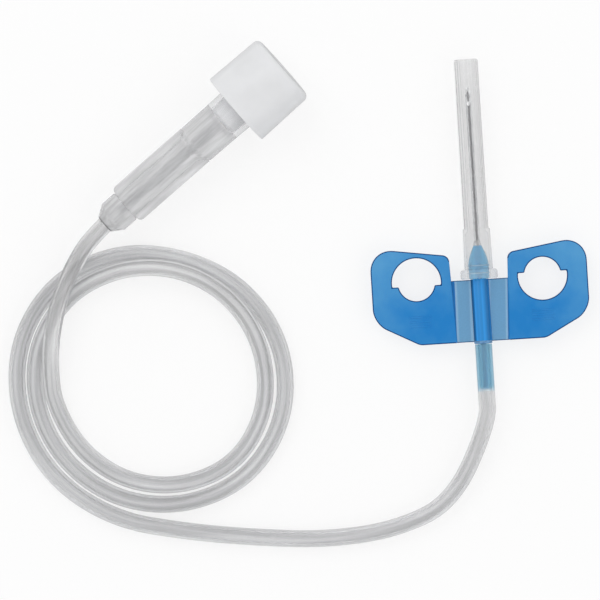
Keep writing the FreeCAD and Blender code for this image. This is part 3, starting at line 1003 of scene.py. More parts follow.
# Over the plug the connector is clearer and painted lighter, for light that reaches the plug.
CONNECTOR_PLUG = ClearPlastic("connector_over_plug", (
    (0.0, (0.96, 0.962, 0.97)), (0.30, (0.94, 0.942, 0.95)), (0.60, (0.85, 0.852, 0.86)),
    (1.0, (0.66, 0.665, 0.68))),
    0.10, 1.06, body=0.12, ripple=0.06, loss=0.06, grain=CONNECTOR_RIPPLE,
    turn=CONNECTOR_AZIMUTH)
NOZZLE_LINE = ClearPlastic("connector_nozzle_rim", (
    (0.0, (0.10, 0.10, 0.11)), (1.0, (0.10, 0.10, 0.11))), 0.3, 1.3, body=0.6)
CONNECTOR_BOND = ClearPlastic("connector_tube_bond", (
    (0.0, grey(0.97)), (0.5, grey(0.96)), (1.0, (0.80, 0.80, 0.81))), 0.05, 1.05, body=0.02)
CAP_WHITE = CapPlastic()
# The plug inside the connector: a lighter copy of the cap's white, painted light.
CAP_PLUG = CapPlastic("cap_white_plug", (0.95, 0.952, 0.96), rim=0.97)
SHEATH_FROST = ClearPlastic("sheath_frosted", (
    (0.0, (0.885, 0.885, 0.89)), (0.5, (0.865, 0.865, 0.87)), (1.0, (0.64, 0.64, 0.65))),
    0.11, 1.13, body=0.16, ripple=0.02, loss=0.07, grain=(0.25, 20.0, 0.25))
SHEATH_BORE = ClearPlastic("sheath_bore", (
    (0.0, grey(0.97)), (0.6, grey(0.96)), (1.0, (0.86, 0.86, 0.87))), 0.05, 1.01, ripple=0.0)
FLANGE_FROST = ClearPlastic("sheath_frosted_thick", (
    (0.0, grey(0.93)), (0.6, (0.90, 0.90, 0.905)), (1.0, (0.68, 0.68, 0.69))),
    0.11, 1.13, body=0.2, ripple=0.02)


def clad(piece: bpy.types.Object, finish: Finish,
         *zones: tuple[Finish, Callable[[bpy.types.MeshPolygon], bool]]) -> None:
    """Give a piece at its bench its finish, and the faces of each zone another.

    Args:
        piece: The object.
        finish: The finish of the whole piece.
        *zones: Another finish each, with the test of the faces that get it.
    """
    piece.data.materials.append(finish.make())
    for index, (other, chosen) in enumerate(zones, start=1):
        piece.data.materials.append(other.make())
        faces = [face for face in piece.data.polygons if chosen(face)]
        for face in faces:
            face.material_index = index
        log.info("%s: %d faces in %s", piece.name, len(faces), other.name)


# Sub-assemblies


@dataclass
class NeedleUnit:
    """Cannula, glue bead and rigid hub on the needle's axis, from the barrel's front face.

    Attributes:
        spigot_lead: How much the spigot narrows at its end, and over what length.
        nose_outline: Radius and place of the nose's rings in front of its land.
        ring_start: Where the first grip ring starts.
        bead_outline: Radius of the glue bead and place in front of the nose.
        bead_bore_r: The bead's bore, inside the hub's.
        rear_inset: The cannula's rear end inside the spigot's.
        grind_lean: Least and most part of a ground face's normal along the needle.
        grind_past: How far behind the bevel a ground face's middle may lie.
        bond_gap: Room for the solvent between hub and barrel.
        wall_near: How far inside a radius a flat face's middle may lie.
    """

    spigot_len: float = 5.40
    spigot_r: float = 0.62
    spigot_lead: Ring = (0.06, 0.10)
    core_r: float = 0.80
    nose_r: float = 1.10
    nose_land: float = 1.80
    nose_outline: tuple[Ring, ...] = (
        (1.03, 2.25), (0.95, 2.60), (0.85, 2.95), (0.70, 3.35), (0.55, 3.75))
    nose_tip_r: float = 0.45
    nose_len: float = 4.00
    ring_r: float = 1.18
    ring_width: float = 0.16
    ring_round: float = 0.04
    ring_start: float = 0.62
    ring_pitch: float = 0.46
    ring_count: int = 3
    bore_r: float = 0.34
    cannula_r: float = 0.32
    cannula_bore_r: float = 0.17
    rear_inset: float = 0.15
    needle_reach: float = 19.05
    bevel_len: float = 2.30
    lancet_len: float = 1.05
    lancet_turn: float = 35.0
    grind_lean: Span = (0.05, 0.9)
    grind_past: float = 0.1
    bead_outline: tuple[Ring, ...] = ((0.44, 0.0), (0.42, 0.14), (0.37, 0.36), (0.35, 0.60))
    bead_bore_r: float = 0.325
    bond_gap: float = 0.02
    wall_near: float = 0.02
    cannula_sides: int = 40
    hub_sides: int = 56

    def cannula(self) -> bpy.types.Object:
        """The steel tube with its ground point, bevel upwards, and two lancet facets.

        Returns:
            The cannula at its bench.
        """
        rear = self.rear_inset - BARREL_LEN - self.spigot_len
        tip = self.nose_len + self.needle_reach
        rings = [(self.cannula_r, rear), (self.cannula_r, tip), (self.cannula_bore_r, tip),
                 (self.cannula_bore_r, rear)]
        piece = turned("cannula", rings, self.cannula_sides, hollow=True)
        bpy.ops.object.mode_set(mode="EDIT")
        # The bench's -Y is up in the row's frame. All three planes meet at the lowest line.
        for length, degrees in ((self.bevel_len, 0.0), (self.lancet_len, self.lancet_turn),
                                (self.lancet_len, -self.lancet_turn)):
            turn = math.radians(degrees)
            rise = self.cannula_r * (1 + math.cos(turn))
            normal = Vector((math.sin(turn) * length, -math.cos(turn) * length, rise))
            cut_away((0, self.cannula_r, tip), normal.normalized(), near=POINT_NEAR)
        pick(piece, Element.EDGES, lambda edge: edge.is_boundary)
        bpy.ops.mesh.bridge_edge_loops()
        close_piece()
        shade(piece)
        return piece

    def bead(self) -> bpy.types.Object:
        """The glue bead, a small concave cone round the steel.

        Returns:
            The bead at its bench.
        """
        outline = beside(0.0, self.nose_len, self.bead_outline)
        rings = [(self.bead_bore_r, outline[0][1]), *outline,
                 (self.bead_bore_r, outline[-1][1])]
        piece = turned("glue_bead", rings, self.cannula_sides, hollow=True)
        shade(piece)
        return piece

    def ring_spans(self) -> list[Span]:
        """Where each grip ring starts and ends along the nose."""
        starts = [self.ring_start + index * self.ring_pitch for index in range(self.ring_count)]
        return [(start, start + self.ring_width) for start in starts]

    def hub(self) -> bpy.types.Object:
        """The rigid hub: spigot, core, ringed nose, and the bore for the cannula.

        Returns:
            The hub at its bench.
        """
        rear = -BARREL_LEN - self.spigot_len
        narrowing, lead_len = self.spigot_lead
        rings: list[Ring] = [
            (self.spigot_r - narrowing, rear), (self.spigot_r, rear + lead_len),
            (self.spigot_r, -BARREL_LEN), (self.core_r, -BARREL_LEN),
            (self.core_r, self.bond_gap), (self.nose_r, self.bond_gap)]
        for low, high in self.ring_spans():
            rings += [(self.nose_r, low), (self.ring_r, low + self.ring_round),
                      (self.ring_r, high - self.ring_round), (self.nose_r, high)]
        rings += [(self.nose_r, self.nose_land), *self.nose_outline,
                  (self.nose_tip_r, self.nose_len), (self.bore_r, self.nose_len),
                  (self.bore_r, rear)]
        piece = turned("hub_body", rings, self.hub_sides, hollow=True)
        shade(piece)
        return piece

    def on_ring(self, face: bpy.types.MeshPolygon) -> bool:
        """True for a face of the grip rings."""
        return (face.center.xy.length > self.nose_r - self.wall_near
                and any(low <= face.center.z <= high for low, high in self.ring_spans()))

    def on_grind(self, face: bpy.types.MeshPolygon) -> bool:
        """True for a face of the ground point.

        Args:
            face: A face of the cannula.

        Returns:
            Whether it was ground.
        """
        rear = self.nose_len + self.needle_reach - self.bevel_len - self.grind_past
        least, most = self.grind_lean
        return face.center.z > rear and least < abs(face.normal.z) < most

    def build(self) -> list[bpy.types.Object]:
        """Make, finish and seat the three pieces.

        Returns:
            Cannula, glue bead and hub.
        """
        seat = needle_seat(BARREL_FRONT_Y)
        cannula, bead, hub = self.cannula(), self.bead(), self.hub()
        clad(cannula, STEEL, (STEEL_GROUND, self.on_grind))
        settle(cannula, seat, Body.SET, "needle_cannula")
        clad(bead, GLUE_CLEAR)
        settle(bead, seat, Body.SET, "needle_adhesive")
        clad(hub, HUB_BLUE, (RING_BLUE, self.on_ring),
             (SPIGOT_BLUE, lambda face: face.center.z < -BARREL_LEN))
        settle(hub, seat, Body.SET, "needle_hub")
        return [cannula, bead, hub]


@dataclass
class WingMoulding:
    """The soft blue moulding: barrel, two hinge films and two wing plates.

    Its bench has the middle of the barrel's front face as its origin, and isn't turned.

    Attributes:
        rim_len: Length of the barrel's uneven rear rim, with painted glints.
        film_start: Where the film starts inside the barrel's wall.
        film_gaps: How far the film stays inside the plate's rear and the barrel's front.
        root_front: The plate's front corner beside the film.
        corner_rounds: Radii of the plate's corners, from the front root round to the tail.
        hole_step: How far in front of its middle the finger hole changes its radius.
        bar_shift: How far the grip bars' middle lies nearer to the barrel than the hole's.
        edge_cosine: A face whose normal rises less than this belongs to an edge.
        film_cosine: A film face whose normal lies along it more than this is its end.
        root_line: Faces nearer to the film than this, at the barrel's front, aren't edge.
        root_slant: How far that line moves outwards per millimetre towards the front.
        root_rear: How far behind the barrel's front such faces start.
        bend_start: Where the film's bend starts beside the barrel.
    """

    barrel_r: float = 1.10
    barrel_bore_r: float = 0.82
    barrel_sides: int = 64
    rear_round: float = 0.12
    front_round: float = 0.05
    rim_len: float = 0.36
    film_thick: float = 0.28
    film_len: float = 7.50
    film_start: float = 0.96
    film_gaps: Span = (0.02, 0.05)
    film_round: float = 0.091
    film_strips: int = 20
    wing_thick: float = 0.62
    root_rear_x: float = 3.10
    root_front: Ring = (3.52, 3.00)
    reach: float = 12.97
    tip_front_y: float = 4.42
    tip_rear_y: float = -4.63
    tail_x: float = 7.57
    corner_rounds: tuple[float, float, float, float] = (0.85, 2.50, 2.80, 1.50)
    corner_steps: int = 14
    edge_round: float = 0.13
    edge_steps: int = 3
    hole_x: float = 7.56
    hole_large_r: float = 2.94
    hole_large_sides: int = 144
    hole_small_r: float = 2.19
    hole_small_sides: int = 112
    hole_step: float = 0.40
    cutter_share: float = 3.0
    bar_size: Point = (2.6, 0.22, 0.10)
    bar_shift: float = 0.2
    bar_start: float = 4.15
    bar_pitch: float = 0.55
    bar_count: int = 3
    bar_round: float = 0.045
    bar_steps: int = 3
    edge_cosine: float = 0.985
    film_cosine: float = 0.3
    root_line: float = 3.6
    root_slant: float = 0.04
    root_rear: float = 0.12
    bend_start: float = 1.65

    def barrel(self) -> bpy.types.Object:
        """The tube round the hub's core, with a slightly uneven rear rim and painted glints on
        it.

        Returns:
            The barrel, finished and seated.
        """
        rim_end = self.rim_len - BARREL_LEN
        rings = [(self.barrel_bore_r, -BARREL_LEN)]
        rings += arc(self.barrel_r - self.rear_round, self.rear_round - BARREL_LEN,
                     self.rear_round, -90, 0, 4)
        rings += [(self.barrel_r, rim_end)]
        rings += arc(self.barrel_r - self.front_round, -self.front_round, self.front_round,
                     0, 90, 3)
        rings += [(self.barrel_bore_r, 0)]
        piece = turned("wing_barrel", rings, self.barrel_sides, hollow=True)
        shade(piece)
        # The rear rim takes the paler blue of its painted glints.
        clad(piece, BARREL_BLUE, (RIM_BLUE, lambda face: face.center.z < rim_end))
        settle(piece, needle_seat(BARREL_FRONT_Y), Body.SET, "wing_sleeve")
        return piece

    def corners(self) -> list[Ring]:
        """The plate's five sharp corners for the right wing.

        Returns:
            Their places, from the rear root round by the front.
        """
        rear = -self.film_len
        return [(self.root_rear_x, rear), self.root_front, (self.reach, self.tip_front_y),
                (self.reach, self.tip_rear_y), (self.tail_x, rear)]

    def plate(self, side: Side) -> bpy.types.Object:
        """One wing plate with its stepped finger hole.

        Args:
            side: Which wing.

        Returns:
            The closed plate at the bench.
        """
        corners = self.corners()
        low_x, high_x = self.root_rear_x, self.reach
        low_y, high_y = -self.film_len, self.tip_front_y
        piece = start_piece(f"{side.name.lower()}_wing_plate", bpy.ops.mesh.primitive_plane_add,
                            size=1)
        form((high_x - low_x, high_y - low_y, 1), ((high_x + low_x) / 2, (high_y + low_y) / 2, 0))
        # The outer and the rear side are the plane's own; the other three slant.
        for index in (0, 1, 3):
            start, end = corners[index], corners[index + 1]
            outward = Vector((start[1] - end[1], end[0] - start[0], 0)).normalized()
            cut_away((*start, 0), outward)
        for index, bend in enumerate(self.corner_rounds, start=1):
            self.round_corner(piece, corners, index, bend)
        bpy.ops.mesh.select_all(action="SELECT")
        bpy.ops.transform.translate(value=(0, 0, -self.wing_thick / 2))
        extrude_up(self.wing_thick)
        close_piece()
        for cutter in self.hole_cutters(side):
            combine(piece, cutter, Fit.CUT)
        return piece

    def round_corner(self, piece: bpy.types.Object, corners: Sequence[Ring], index: int,
                     bend: float) -> None:
        """Round one corner of the flat outline.

        Args:
            piece: The outline in edit mode.
            corners: All sharp corners in order.
            index: Which one.
            bend: The rounding's radius.
        """
        here = Vector(corners[index])
        inward = here - Vector(corners[index - 1])
        onward = Vector(corners[(index + 1) % len(corners)]) - here
        reach = bend * math.tan(inward.angle(onward) / 2)
        pick(piece, Element.VERTS, lambda vert: (vert.co.xy - here).length < NEAR)
        bpy.ops.mesh.bevel(offset_type="ABSOLUTE", offset=reach, segments=self.corner_steps,
                           profile=0.5, affect="VERTICES", clamp_overlap=False)

    def hole_cutters(self, side: Side) -> list[bpy.types.Object]:
        """The two tools of the stepped hole, for a plate that still points to +X.

        Args:
            side: Which wing.

        Returns:
            The tool of the small arc, and that of the large one.
        """
        depth = self.wing_thick * self.cutter_share
        small = start_piece("small_arc", bpy.ops.mesh.primitive_cylinder_add,
                            vertices=self.hole_small_sides, radius=self.hole_small_r,
                            depth=depth, location=(self.hole_x, 0, 0))
        close_piece()
        large = start_piece("large_arc", bpy.ops.mesh.primitive_cylinder_add,
                            vertices=self.hole_large_sides, radius=self.hole_large_r,
                            depth=depth, location=(self.hole_x, 0, 0))
        cut_away((self.hole_x, side.value * self.hole_step, 0), (0, side.value, 0), filled=True)
        close_piece()
        return [small, large]

    def film(self) -> bpy.types.Object:
        """The thin hinge panel, in narrow strips.

        Returns:
            The closed film at the bench.
        """
        rear_gap, front_gap = self.film_gaps
        low_x, high_x = self.film_start, self.root_front[0] + self.edge_round
        low_y, high_y = rear_gap - self.film_len, -front_gap
        piece = start_piece("hinge_film", bpy.ops.mesh.primitive_grid_add,
                            x_subdivisions=self.film_strips, y_subdivisions=1, size=1)
        form((high_x - low_x, high_y - low_y, 1),
             ((high_x + low_x) / 2, (high_y + low_y) / 2, -self.film_thick / 2))
        extrude_up(self.film_thick)
        pick(piece, Element.EDGES, lambda edge: all(vert.co.z > 0 for vert in edge.verts)
             and abs(edge.verts[0].co.y - edge.verts[1].co.y) < NEAR)
        bpy.ops.mesh.bevel(offset=self.film_round, segments=1, affect="EDGES",
                           clamp_overlap=False)
        close_piece()
        return piece

    def grip_bar(self, index: int) -> bpy.types.Object:
        """One of the low raised bars on the plate behind the hole.

        Args:
            index: Which one, counted from the hole.

        Returns:
            The closed bar at the bench.
        """
        bar = start_piece("grip_bar", bpy.ops.mesh.primitive_cube_add, size=1)
        form(self.bar_size, (self.hole_x - self.bar_shift,
                             -self.bar_start - self.bar_pitch * index, self.wing_thick / 2))
        bpy.ops.mesh.bevel(offset=self.bar_round, segments=self.bar_steps, affect="EDGES")
        close_piece()
        return bar

    def on_edge(self, face: bpy.types.MeshPolygon) -> bool:
        """True for a plate face on its edge, apart from where the film meets it.

        Args:
            face: A face of the plate, before the film is fused on.

        Returns:
            Whether it gets the edge's painted shade.
        """
        x, y = face.center.xy
        beside_film = x - self.root_slant * y < self.root_line and y < -self.root_rear
        return abs(face.normal.z) < self.edge_cosine and not beside_film

    def wing(self, side: Side) -> bpy.types.Object:
        """One wing with its film, finished and seated.

        Args:
            side: Which wing.

        Returns:
            The piece.
        """
        plate = self.plate(side)
        soften(plate, self.edge_round, self.edge_steps)
        film = self.film()
        finishes = [finish.make() for finish in (WING_BLUE, FILM_BLUE[side], WING_EDGE)]
        plain, thin, edge = range(len(finishes))
        for piece in (plate, film):
            for finish in finishes:
                piece.data.materials.append(finish)
        # Painted shade: the films' ends and the plates' edges take the dark edge colour.
        for face in film.data.polygons:
            face.material_index = thin if abs(face.normal.y) < self.film_cosine else edge
        for face in plate.data.polygons:
            face.material_index = edge if self.on_edge(face) else plain
        for index in range(self.bar_count):
            bar = self.grip_bar(index)
            bar.data.materials.append(finishes[plain])
            combine(plate, bar, Fit.FUSE)
        combine(plate, film, Fit.FUSE)
        self.lay_map(plate)
        if side is Side.LEFT:
            select_only(plate)
            bpy.ops.object.mode_set(mode="EDIT")
            bpy.ops.mesh.select_all(action="SELECT")
            bpy.ops.transform.mirror(constraint_axis=(True, False, False),
                                     center_override=(0, 0, 0))
            close_piece()
        shade(plate)
        plate.name = plate.data.name = f"{side.name.lower()}_wing_panel"
        seat = Seat((0, BARREL_FRONT_Y, NEEDLE_Z))
        seat.place(plate)
        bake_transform(plate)
        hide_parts(f"{side.name.lower()}_wing")
        return plate

    def lay_map(self, piece: bpy.types.Object) -> None:
        """Give a flat piece its own millimetres as UV, seen from above.

        Args:
            piece: The object at its bench.
        """
        mesh = piece.data
        while mesh.uv_layers:
            mesh.uv_layers.remove(mesh.uv_layers[0])
        layer = mesh.uv_layers.new(name="moulding")
        for loop in mesh.loops:
            layer.data[loop.index].uv = mesh.vertices[loop.vertex_index].co.xy

    def build(self) -> list[bpy.types.Object]:
        """Make barrel and both wings."""
        return [self.barrel(), *(self.wing(side) for side in Side)]


@dataclass
class NeedleSheath:
    """Frosted sheath: flange, collar, and a ribbed tube with an open end.

    Attributes:
        rear_y: The sheath's rear face, just in front of the barrel's.
        collar_foot: Length of the step from the flange to the collar.
        collar_round: Width of the slant at the collar's end.
        shaft_foot: Length of the step from the collar to the shaft.
        bore_step: Length over which the wide bore narrows.
        rib_strips: Strips of the tube from one rib to the next, two of them raised.
        rib_gaps: How far the ribs' ends stay from the collar and the open end.
        wall_near: How far outside the bore a bore face's middle may lie.
    """

    rear_y: float = -6.55
    flange_r: float = 2.225
    flange_len: float = 1.10
    flange_rear_round: float = 0.18
    flange_front_round: float = 0.30
    collar_foot: float = 0.06
    collar_rear_r: float = 1.70
    collar_front_r: float = 1.625
    collar_end: float = 6.00
    collar_round: float = 0.08
    shaft_foot: float = 0.02
    shaft_rear_r: float = 1.42
    shaft_front_r: float = 1.37
    end_round: float = 0.12
    length: float = 26.30
    wide_bore_r: float = 1.23
    wide_bore_len: float = 5.40
    bore_step: float = 0.30
    narrow_bore_r: float = 0.95
    rib_height: float = 0.055
    rib_count: int = 12
    rib_strips: int = 6
    rib_gaps: Span = (0.05, 0.2)
    wall_near: float = 0.02

    def in_bore(self, face: bpy.types.MeshPolygon) -> bool:
        """True for a face of the bores, apart from the sheath's two end faces."""
        return (0.0 < face.center.z < self.length
                and face.center.xy.length < self.wide_bore_r + self.wall_near)

    def on_flange(self, face: bpy.types.MeshPolygon) -> bool:
        """True for a face of the flange outside the bore."""
        return (face.center.z < self.flange_len + self.collar_foot - NEAR
                and face.center.xy.length > self.wide_bore_r + self.wall_near)

    def on_rib(self, face: bmesh.types.BMFace) -> bool:
        """True for a face of the shaft that is raised as a rib.

        Args:
            face: A face in edit mode.

        Returns:
            Whether it lies on the shaft, less than a strip from a rib's middle line.
        """
        middle = face.calc_center_median()
        rear_gap, front_gap = self.rib_gaps
        along = self.collar_end + rear_gap < middle.z < self.length - front_gap
        outside = middle.xy.length >= (self.narrow_bore_r + self.shaft_front_r) / 2
        turns = math.atan2(middle.y, middle.x) / (2 * math.pi) * self.rib_count
        return along and outside and abs(turns - round(turns)) < 1 / self.rib_strips

    def raise_ribs(self, piece: bpy.types.Object) -> None:
        """Raise strips of the shaft as fine lengthwise ribs.

        Args:
            piece: The sheath at its bench.
        """
        bpy.ops.object.mode_set(mode="EDIT")
        count = pick(piece, Element.FACES, self.on_rib)
        log.info("%s: %d faces raised as ribs", piece.name, count)
        bpy.ops.mesh.extrude_region_shrink_fatten(
            TRANSFORM_OT_shrink_fatten={"value": self.rib_height})
        close_piece()

    def build(self) -> list[bpy.types.Object]:
        """Make, finish and seat the sheath.

        Returns:
            The sheath.
        """
        rings: list[Ring] = [(self.wide_bore_r, 0.0)]
        rings += arc(self.flange_r - self.flange_rear_round, self.flange_rear_round,
                     self.flange_rear_round, -90, 0, 4)
        rings += arc(self.flange_r - self.flange_front_round,
                     self.flange_len - self.flange_front_round, self.flange_front_round,
                     0, 90, 5)
        rings += [(self.collar_rear_r, self.flange_len + self.collar_foot),
                  (self.collar_front_r, self.collar_end - self.collar_round),
                  (self.collar_front_r - self.collar_round, self.collar_end),
                  (self.shaft_rear_r, self.collar_end + self.shaft_foot)]
        rings += arc(self.shaft_front_r - self.end_round, self.length - self.end_round,
                     self.end_round, 0, 90, 4)
        rings += [(self.narrow_bore_r, self.length),
                  (self.narrow_bore_r, self.wide_bore_len + self.bore_step),
                  (self.wide_bore_r, self.wide_bore_len)]
        piece = turned("sheath_tube", rings, self.rib_count * self.rib_strips, hollow=True)
        self.raise_ribs(piece)
        shade(piece)
        clad(piece, SHEATH_FROST, (FLANGE_FROST, self.on_flange), (SHEATH_BORE, self.in_bore))
        settle(piece, needle_seat(self.rear_y), Body.SHEATH, "needle_sheath")
        return [piece]


@dataclass
class LuerEnd:
    """Clear female luer connector and its cap on one axis, from the tube end face.

    A field that ends in steps holds small radial and axial steps from one corner of an
    outline, which round it.

    Attributes:
        exit: Middle of the tube end face.
        rise: How far the axis rises per millimetre.
        fin_lap: How far the fins reach into the luer socket.
        tool_past: How far the boring tool reaches past both ends.
        luer_foot: Width of the slant at the luer bore's end.
        luer_flare: How much wider the boring tool is past the mouth.
        plug_view: How far past the cap plug's tip the clearer, painted-lighter zone round it
            starts.
        plug_flare: How much wider than the waist's fins the connector is there.
        luer_slope: Narrowing of the plug's radius per millimetre, a 6 percent taper.
        floor_slant: Width of the slants between plug, floor and skirt.
        plug_foot: How much wider the plug is where it meets the floor.
        mouth_steps: Slant at the skirt's mouth, from its inner corner.
        end_flat_r: Radius of the cap's flat end.
        gate_r: Radii of the shallow mark in the middle of the cap's end.
        gate_depth: The mark's depth.
        bond_from: Where the connector's zone round the tube's end starts.
    """

    exit: Point = (-44.32, 2.73, 3.6658)
    rise: float = 0.052
    length: float = 26.90
    body_sides: int = 72
    nozzle_r: float = 1.225
    nozzle_steps: tuple[Ring, ...] = ((-0.08, 0.0), (0.0, 0.11))
    cone_len: float = 1.26
    cone_steps: tuple[Ring, ...] = ((-0.12, -0.10), (-0.03, 0.0), (0.0, 0.15))
    neck_r: float = 2.05
    neck_end: float = 3.40
    neck_steps: tuple[Ring, ...] = ((0.0, -0.25), (-0.06, -0.08))
    waist_r: float = 1.70
    waist_steps: tuple[Ring, ...] = ((0.0, -1.0), (0.12, -0.6))
    fin_r: float = 2.575
    fin_thick: float = 1.20
    fin_round: float = 0.60
    fin_round_steps: int = 8
    fin_lap: float = 0.2
    socket_start: float = 14.20
    socket_r: float = 2.80
    socket_steps: tuple[Ring, ...] = ((-0.22, 0.0), (0.0, 0.40))
    tube_r: float = 1.045
    tube_depth: float = 2.40
    tool_past: float = 0.5
    passage_r: float = 0.60
    luer_r: float = 2.15
    luer_depth: float = 8.90
    luer_end_r: float = 1.883
    luer_foot: float = 0.15
    luer_flare: float = 0.03
    luer_slope: float = 0.03
    lug_span: float = 7.50
    lug_width: float = 2.40
    lug_len: float = 1.40
    lug_round: float = 0.18
    lug_round_steps: int = 3
    mouth_gap: float = 0.15
    cap_floor: float = 1.35
    cap_len: float = 7.55
    cap_sides: int = 96
    cap_rim_r: float = 4.75
    cap_rim_round: float = 0.12
    cap_end_r: float = 4.61
    cap_round: float = 0.70
    cap_round_turn: float = 84.0
    end_flat_r: float = 3.40
    gate_r: Span = (1.2, 1.0)
    gate_depth: float = 0.05
    skirt_r: float = 4.15
    floor_slant: float = 0.2
    mouth_steps: tuple[Ring, ...] = ((0.0, 0.2), (0.15, 0.0))
    plug_gap: float = 0.03
    plug_short: float = 0.55
    plug_tip_len: float = 0.5
    plug_tip_steps: tuple[Ring, ...] = ((-0.45, 0.0), (-0.38, 0.03), (-0.04, 0.40))
    plug_foot: float = 0.1
    plug_view: float = 0.1
    plug_flare: float = 0.04
    bond_from: float = 0.1
    wall_near: float = 0.03

    def seat(self) -> Seat:
        """The seat of everything on the connector's axis.

        Returns:
            The seat, on which the bench's Y points down.
        """
        turn = (Matrix.Rotation(math.radians(CONNECTOR_AZIMUTH - 90), 4, "Z")
                @ Matrix.Rotation(math.asin(self.rise), 4, "X")
                @ Matrix.Rotation(math.radians(-90), 4, "X"))
        return Seat(self.exit, turn)

    def fin_block(self) -> bpy.types.Object:
        """Both side fins as one bar through the waist, rounded at the neck.

        Returns:
            The closed bar at the bench.
        """
        low, high = self.neck_end, self.socket_start + self.fin_lap
        piece = start_piece("side_fins", bpy.ops.mesh.primitive_cube_add, size=1)
        form((self.fin_r * 2, self.fin_thick, high - low), (0, 0, (low + high) / 2))
        pick(piece, Element.EDGES, lambda edge: all(vert.co.z < low + NEAR for vert in edge.verts)
             and abs(edge.verts[0].co.x - edge.verts[1].co.x) < NEAR)
        bpy.ops.mesh.bevel(offset=self.fin_round, segments=self.fin_round_steps,
                           affect="EDGES", clamp_overlap=False)
        close_piece()
        return piece

    def lug_block(self) -> bpy.types.Object:
        """Both locking lugs as one bar across the mouth.

        Returns:
            The closed bar at the bench.
        """
        piece = start_piece("lugs", bpy.ops.mesh.primitive_cube_add, size=1)
        form((self.lug_span, self.lug_width, self.lug_len),
             (0, 0, self.length - self.lug_len / 2))
        bpy.ops.mesh.bevel(offset=self.lug_round, segments=self.lug_round_steps,
                           affect="EDGES")
        close_piece()
        return piece

    def bore_tool(self) -> bpy.types.Object:
        """The tool that cuts tube socket, passage and tapered luer bore.

        Returns:
            The closed tool at the bench.
        """
        bottom = self.length - self.luer_depth
        return turned("bore_tool", [
            (self.tube_r, -self.tool_past), (self.tube_r, self.tube_depth),
            (self.passage_r, self.tube_depth), (self.passage_r, bottom),
            (self.luer_end_r - self.luer_foot, bottom),
            (self.luer_end_r, bottom + self.luer_foot), (self.luer_r, self.length),
            (self.luer_r + self.luer_flare, self.length + self.tool_past)])

    def plug_tip(self) -> float:
        """Where the cap plug's tip lies."""
        return self.length - self.luer_depth + self.plug_short

    def plug_radius(self, place: float) -> float:
        """The plug's radius at a place along the axis."""
        return self.luer_r - self.plug_gap - (self.length - place) * self.luer_slope

    def in_nozzle(self, face: bpy.types.MeshPolygon) -> bool:
        """True for a face of the socket's wall round the tube's end."""
        return (self.bond_from < face.center.z < self.tube_depth + self.bond_from
                and face.center.xy.length < self.tube_r + self.wall_near)

    def on_nozzle_rim(self, face: bpy.types.MeshPolygon) -> bool:
        """True for a face of the nozzle's rim."""
        return (face.center.z < self.bond_from
                and face.center.xy.length > self.tube_r + self.wall_near)

    def connector(self) -> bpy.types.Object:
        """Make, finish and seat the connector.

        Returns:
            The connector.
        """
        view = self.plug_tip() + self.plug_view
        rings = [*beside(self.nozzle_r, 0.0, self.nozzle_steps),
                 *beside(self.neck_r, self.cone_len, self.cone_steps),
                 *beside(self.neck_r, self.neck_end, self.neck_steps),
                 (self.waist_r, self.neck_end),
                 *beside(self.waist_r, self.socket_start, self.waist_steps),
                 *beside(self.fin_r, self.socket_start, self.socket_steps),
                 (self.fin_r + self.plug_flare, view), (self.socket_r, self.length)]
        piece = turned("connector_body", rings, self.body_sides)
        combine(piece, self.fin_block(), Fit.FUSE)
        combine(piece, self.lug_block(), Fit.FUSE)
        combine(piece, self.bore_tool(), Fit.CUT)
        shade(piece)
        # Over the plug the connector is clearer and painted lighter.
        clad(piece, CONNECTOR_CLEAR, (CONNECTOR_PLUG, lambda face: face.center.z > view),
             (NOZZLE_LINE, self.on_nozzle_rim), (CONNECTOR_BOND, self.in_nozzle))
        settle(piece, self.seat(), Body.SET, "luer_connector")
        return piece

    def cap(self) -> bpy.types.Object:
        """Make, finish and seat the cap.

        Returns:
            The cap.
        """
        floor = self.length + self.mouth_gap
        end = floor + self.cap_floor
        rim = end - self.cap_len
        tip, slant = self.plug_tip(), self.floor_slant
        shoulder = tip + self.plug_tip_len
        wide_gate, narrow_gate = self.gate_r
        rings = [*beside(self.plug_radius(tip), tip, self.plug_tip_steps),
                 (self.plug_radius(shoulder), shoulder),
                 (self.plug_radius(floor - slant), floor - slant),
                 (self.plug_radius(floor) + self.plug_foot, floor),
                 (self.skirt_r - slant, floor), (self.skirt_r, floor - slant),
                 *beside(self.skirt_r, rim, self.mouth_steps),
                 *arc(self.cap_rim_r - self.cap_rim_round, rim + self.cap_rim_round,
                      self.cap_rim_round, -90, 0, 4),
                 *arc(self.cap_end_r - self.cap_round, end - self.cap_round,
                      self.cap_round, 0, self.cap_round_turn, 9),
                 (self.end_flat_r, end), (wide_gate, end),
                 (narrow_gate, end - self.gate_depth)]
        piece = turned("cap_shell", rings, self.cap_sides)
        shade(piece)
        # The plug's faces take the cap's lighter, painted-light copy.
        clad(piece, CAP_WHITE, (CAP_PLUG, lambda face: face.center.z < floor
                                and face.center.xy.length < self.luer_r))
        settle(piece, self.seat(), Body.CAP, "luer_cap")
        return piece

    def build(self) -> list[bpy.types.Object]:
        """Make connector and cap."""
        return [self.connector(), self.cap()]


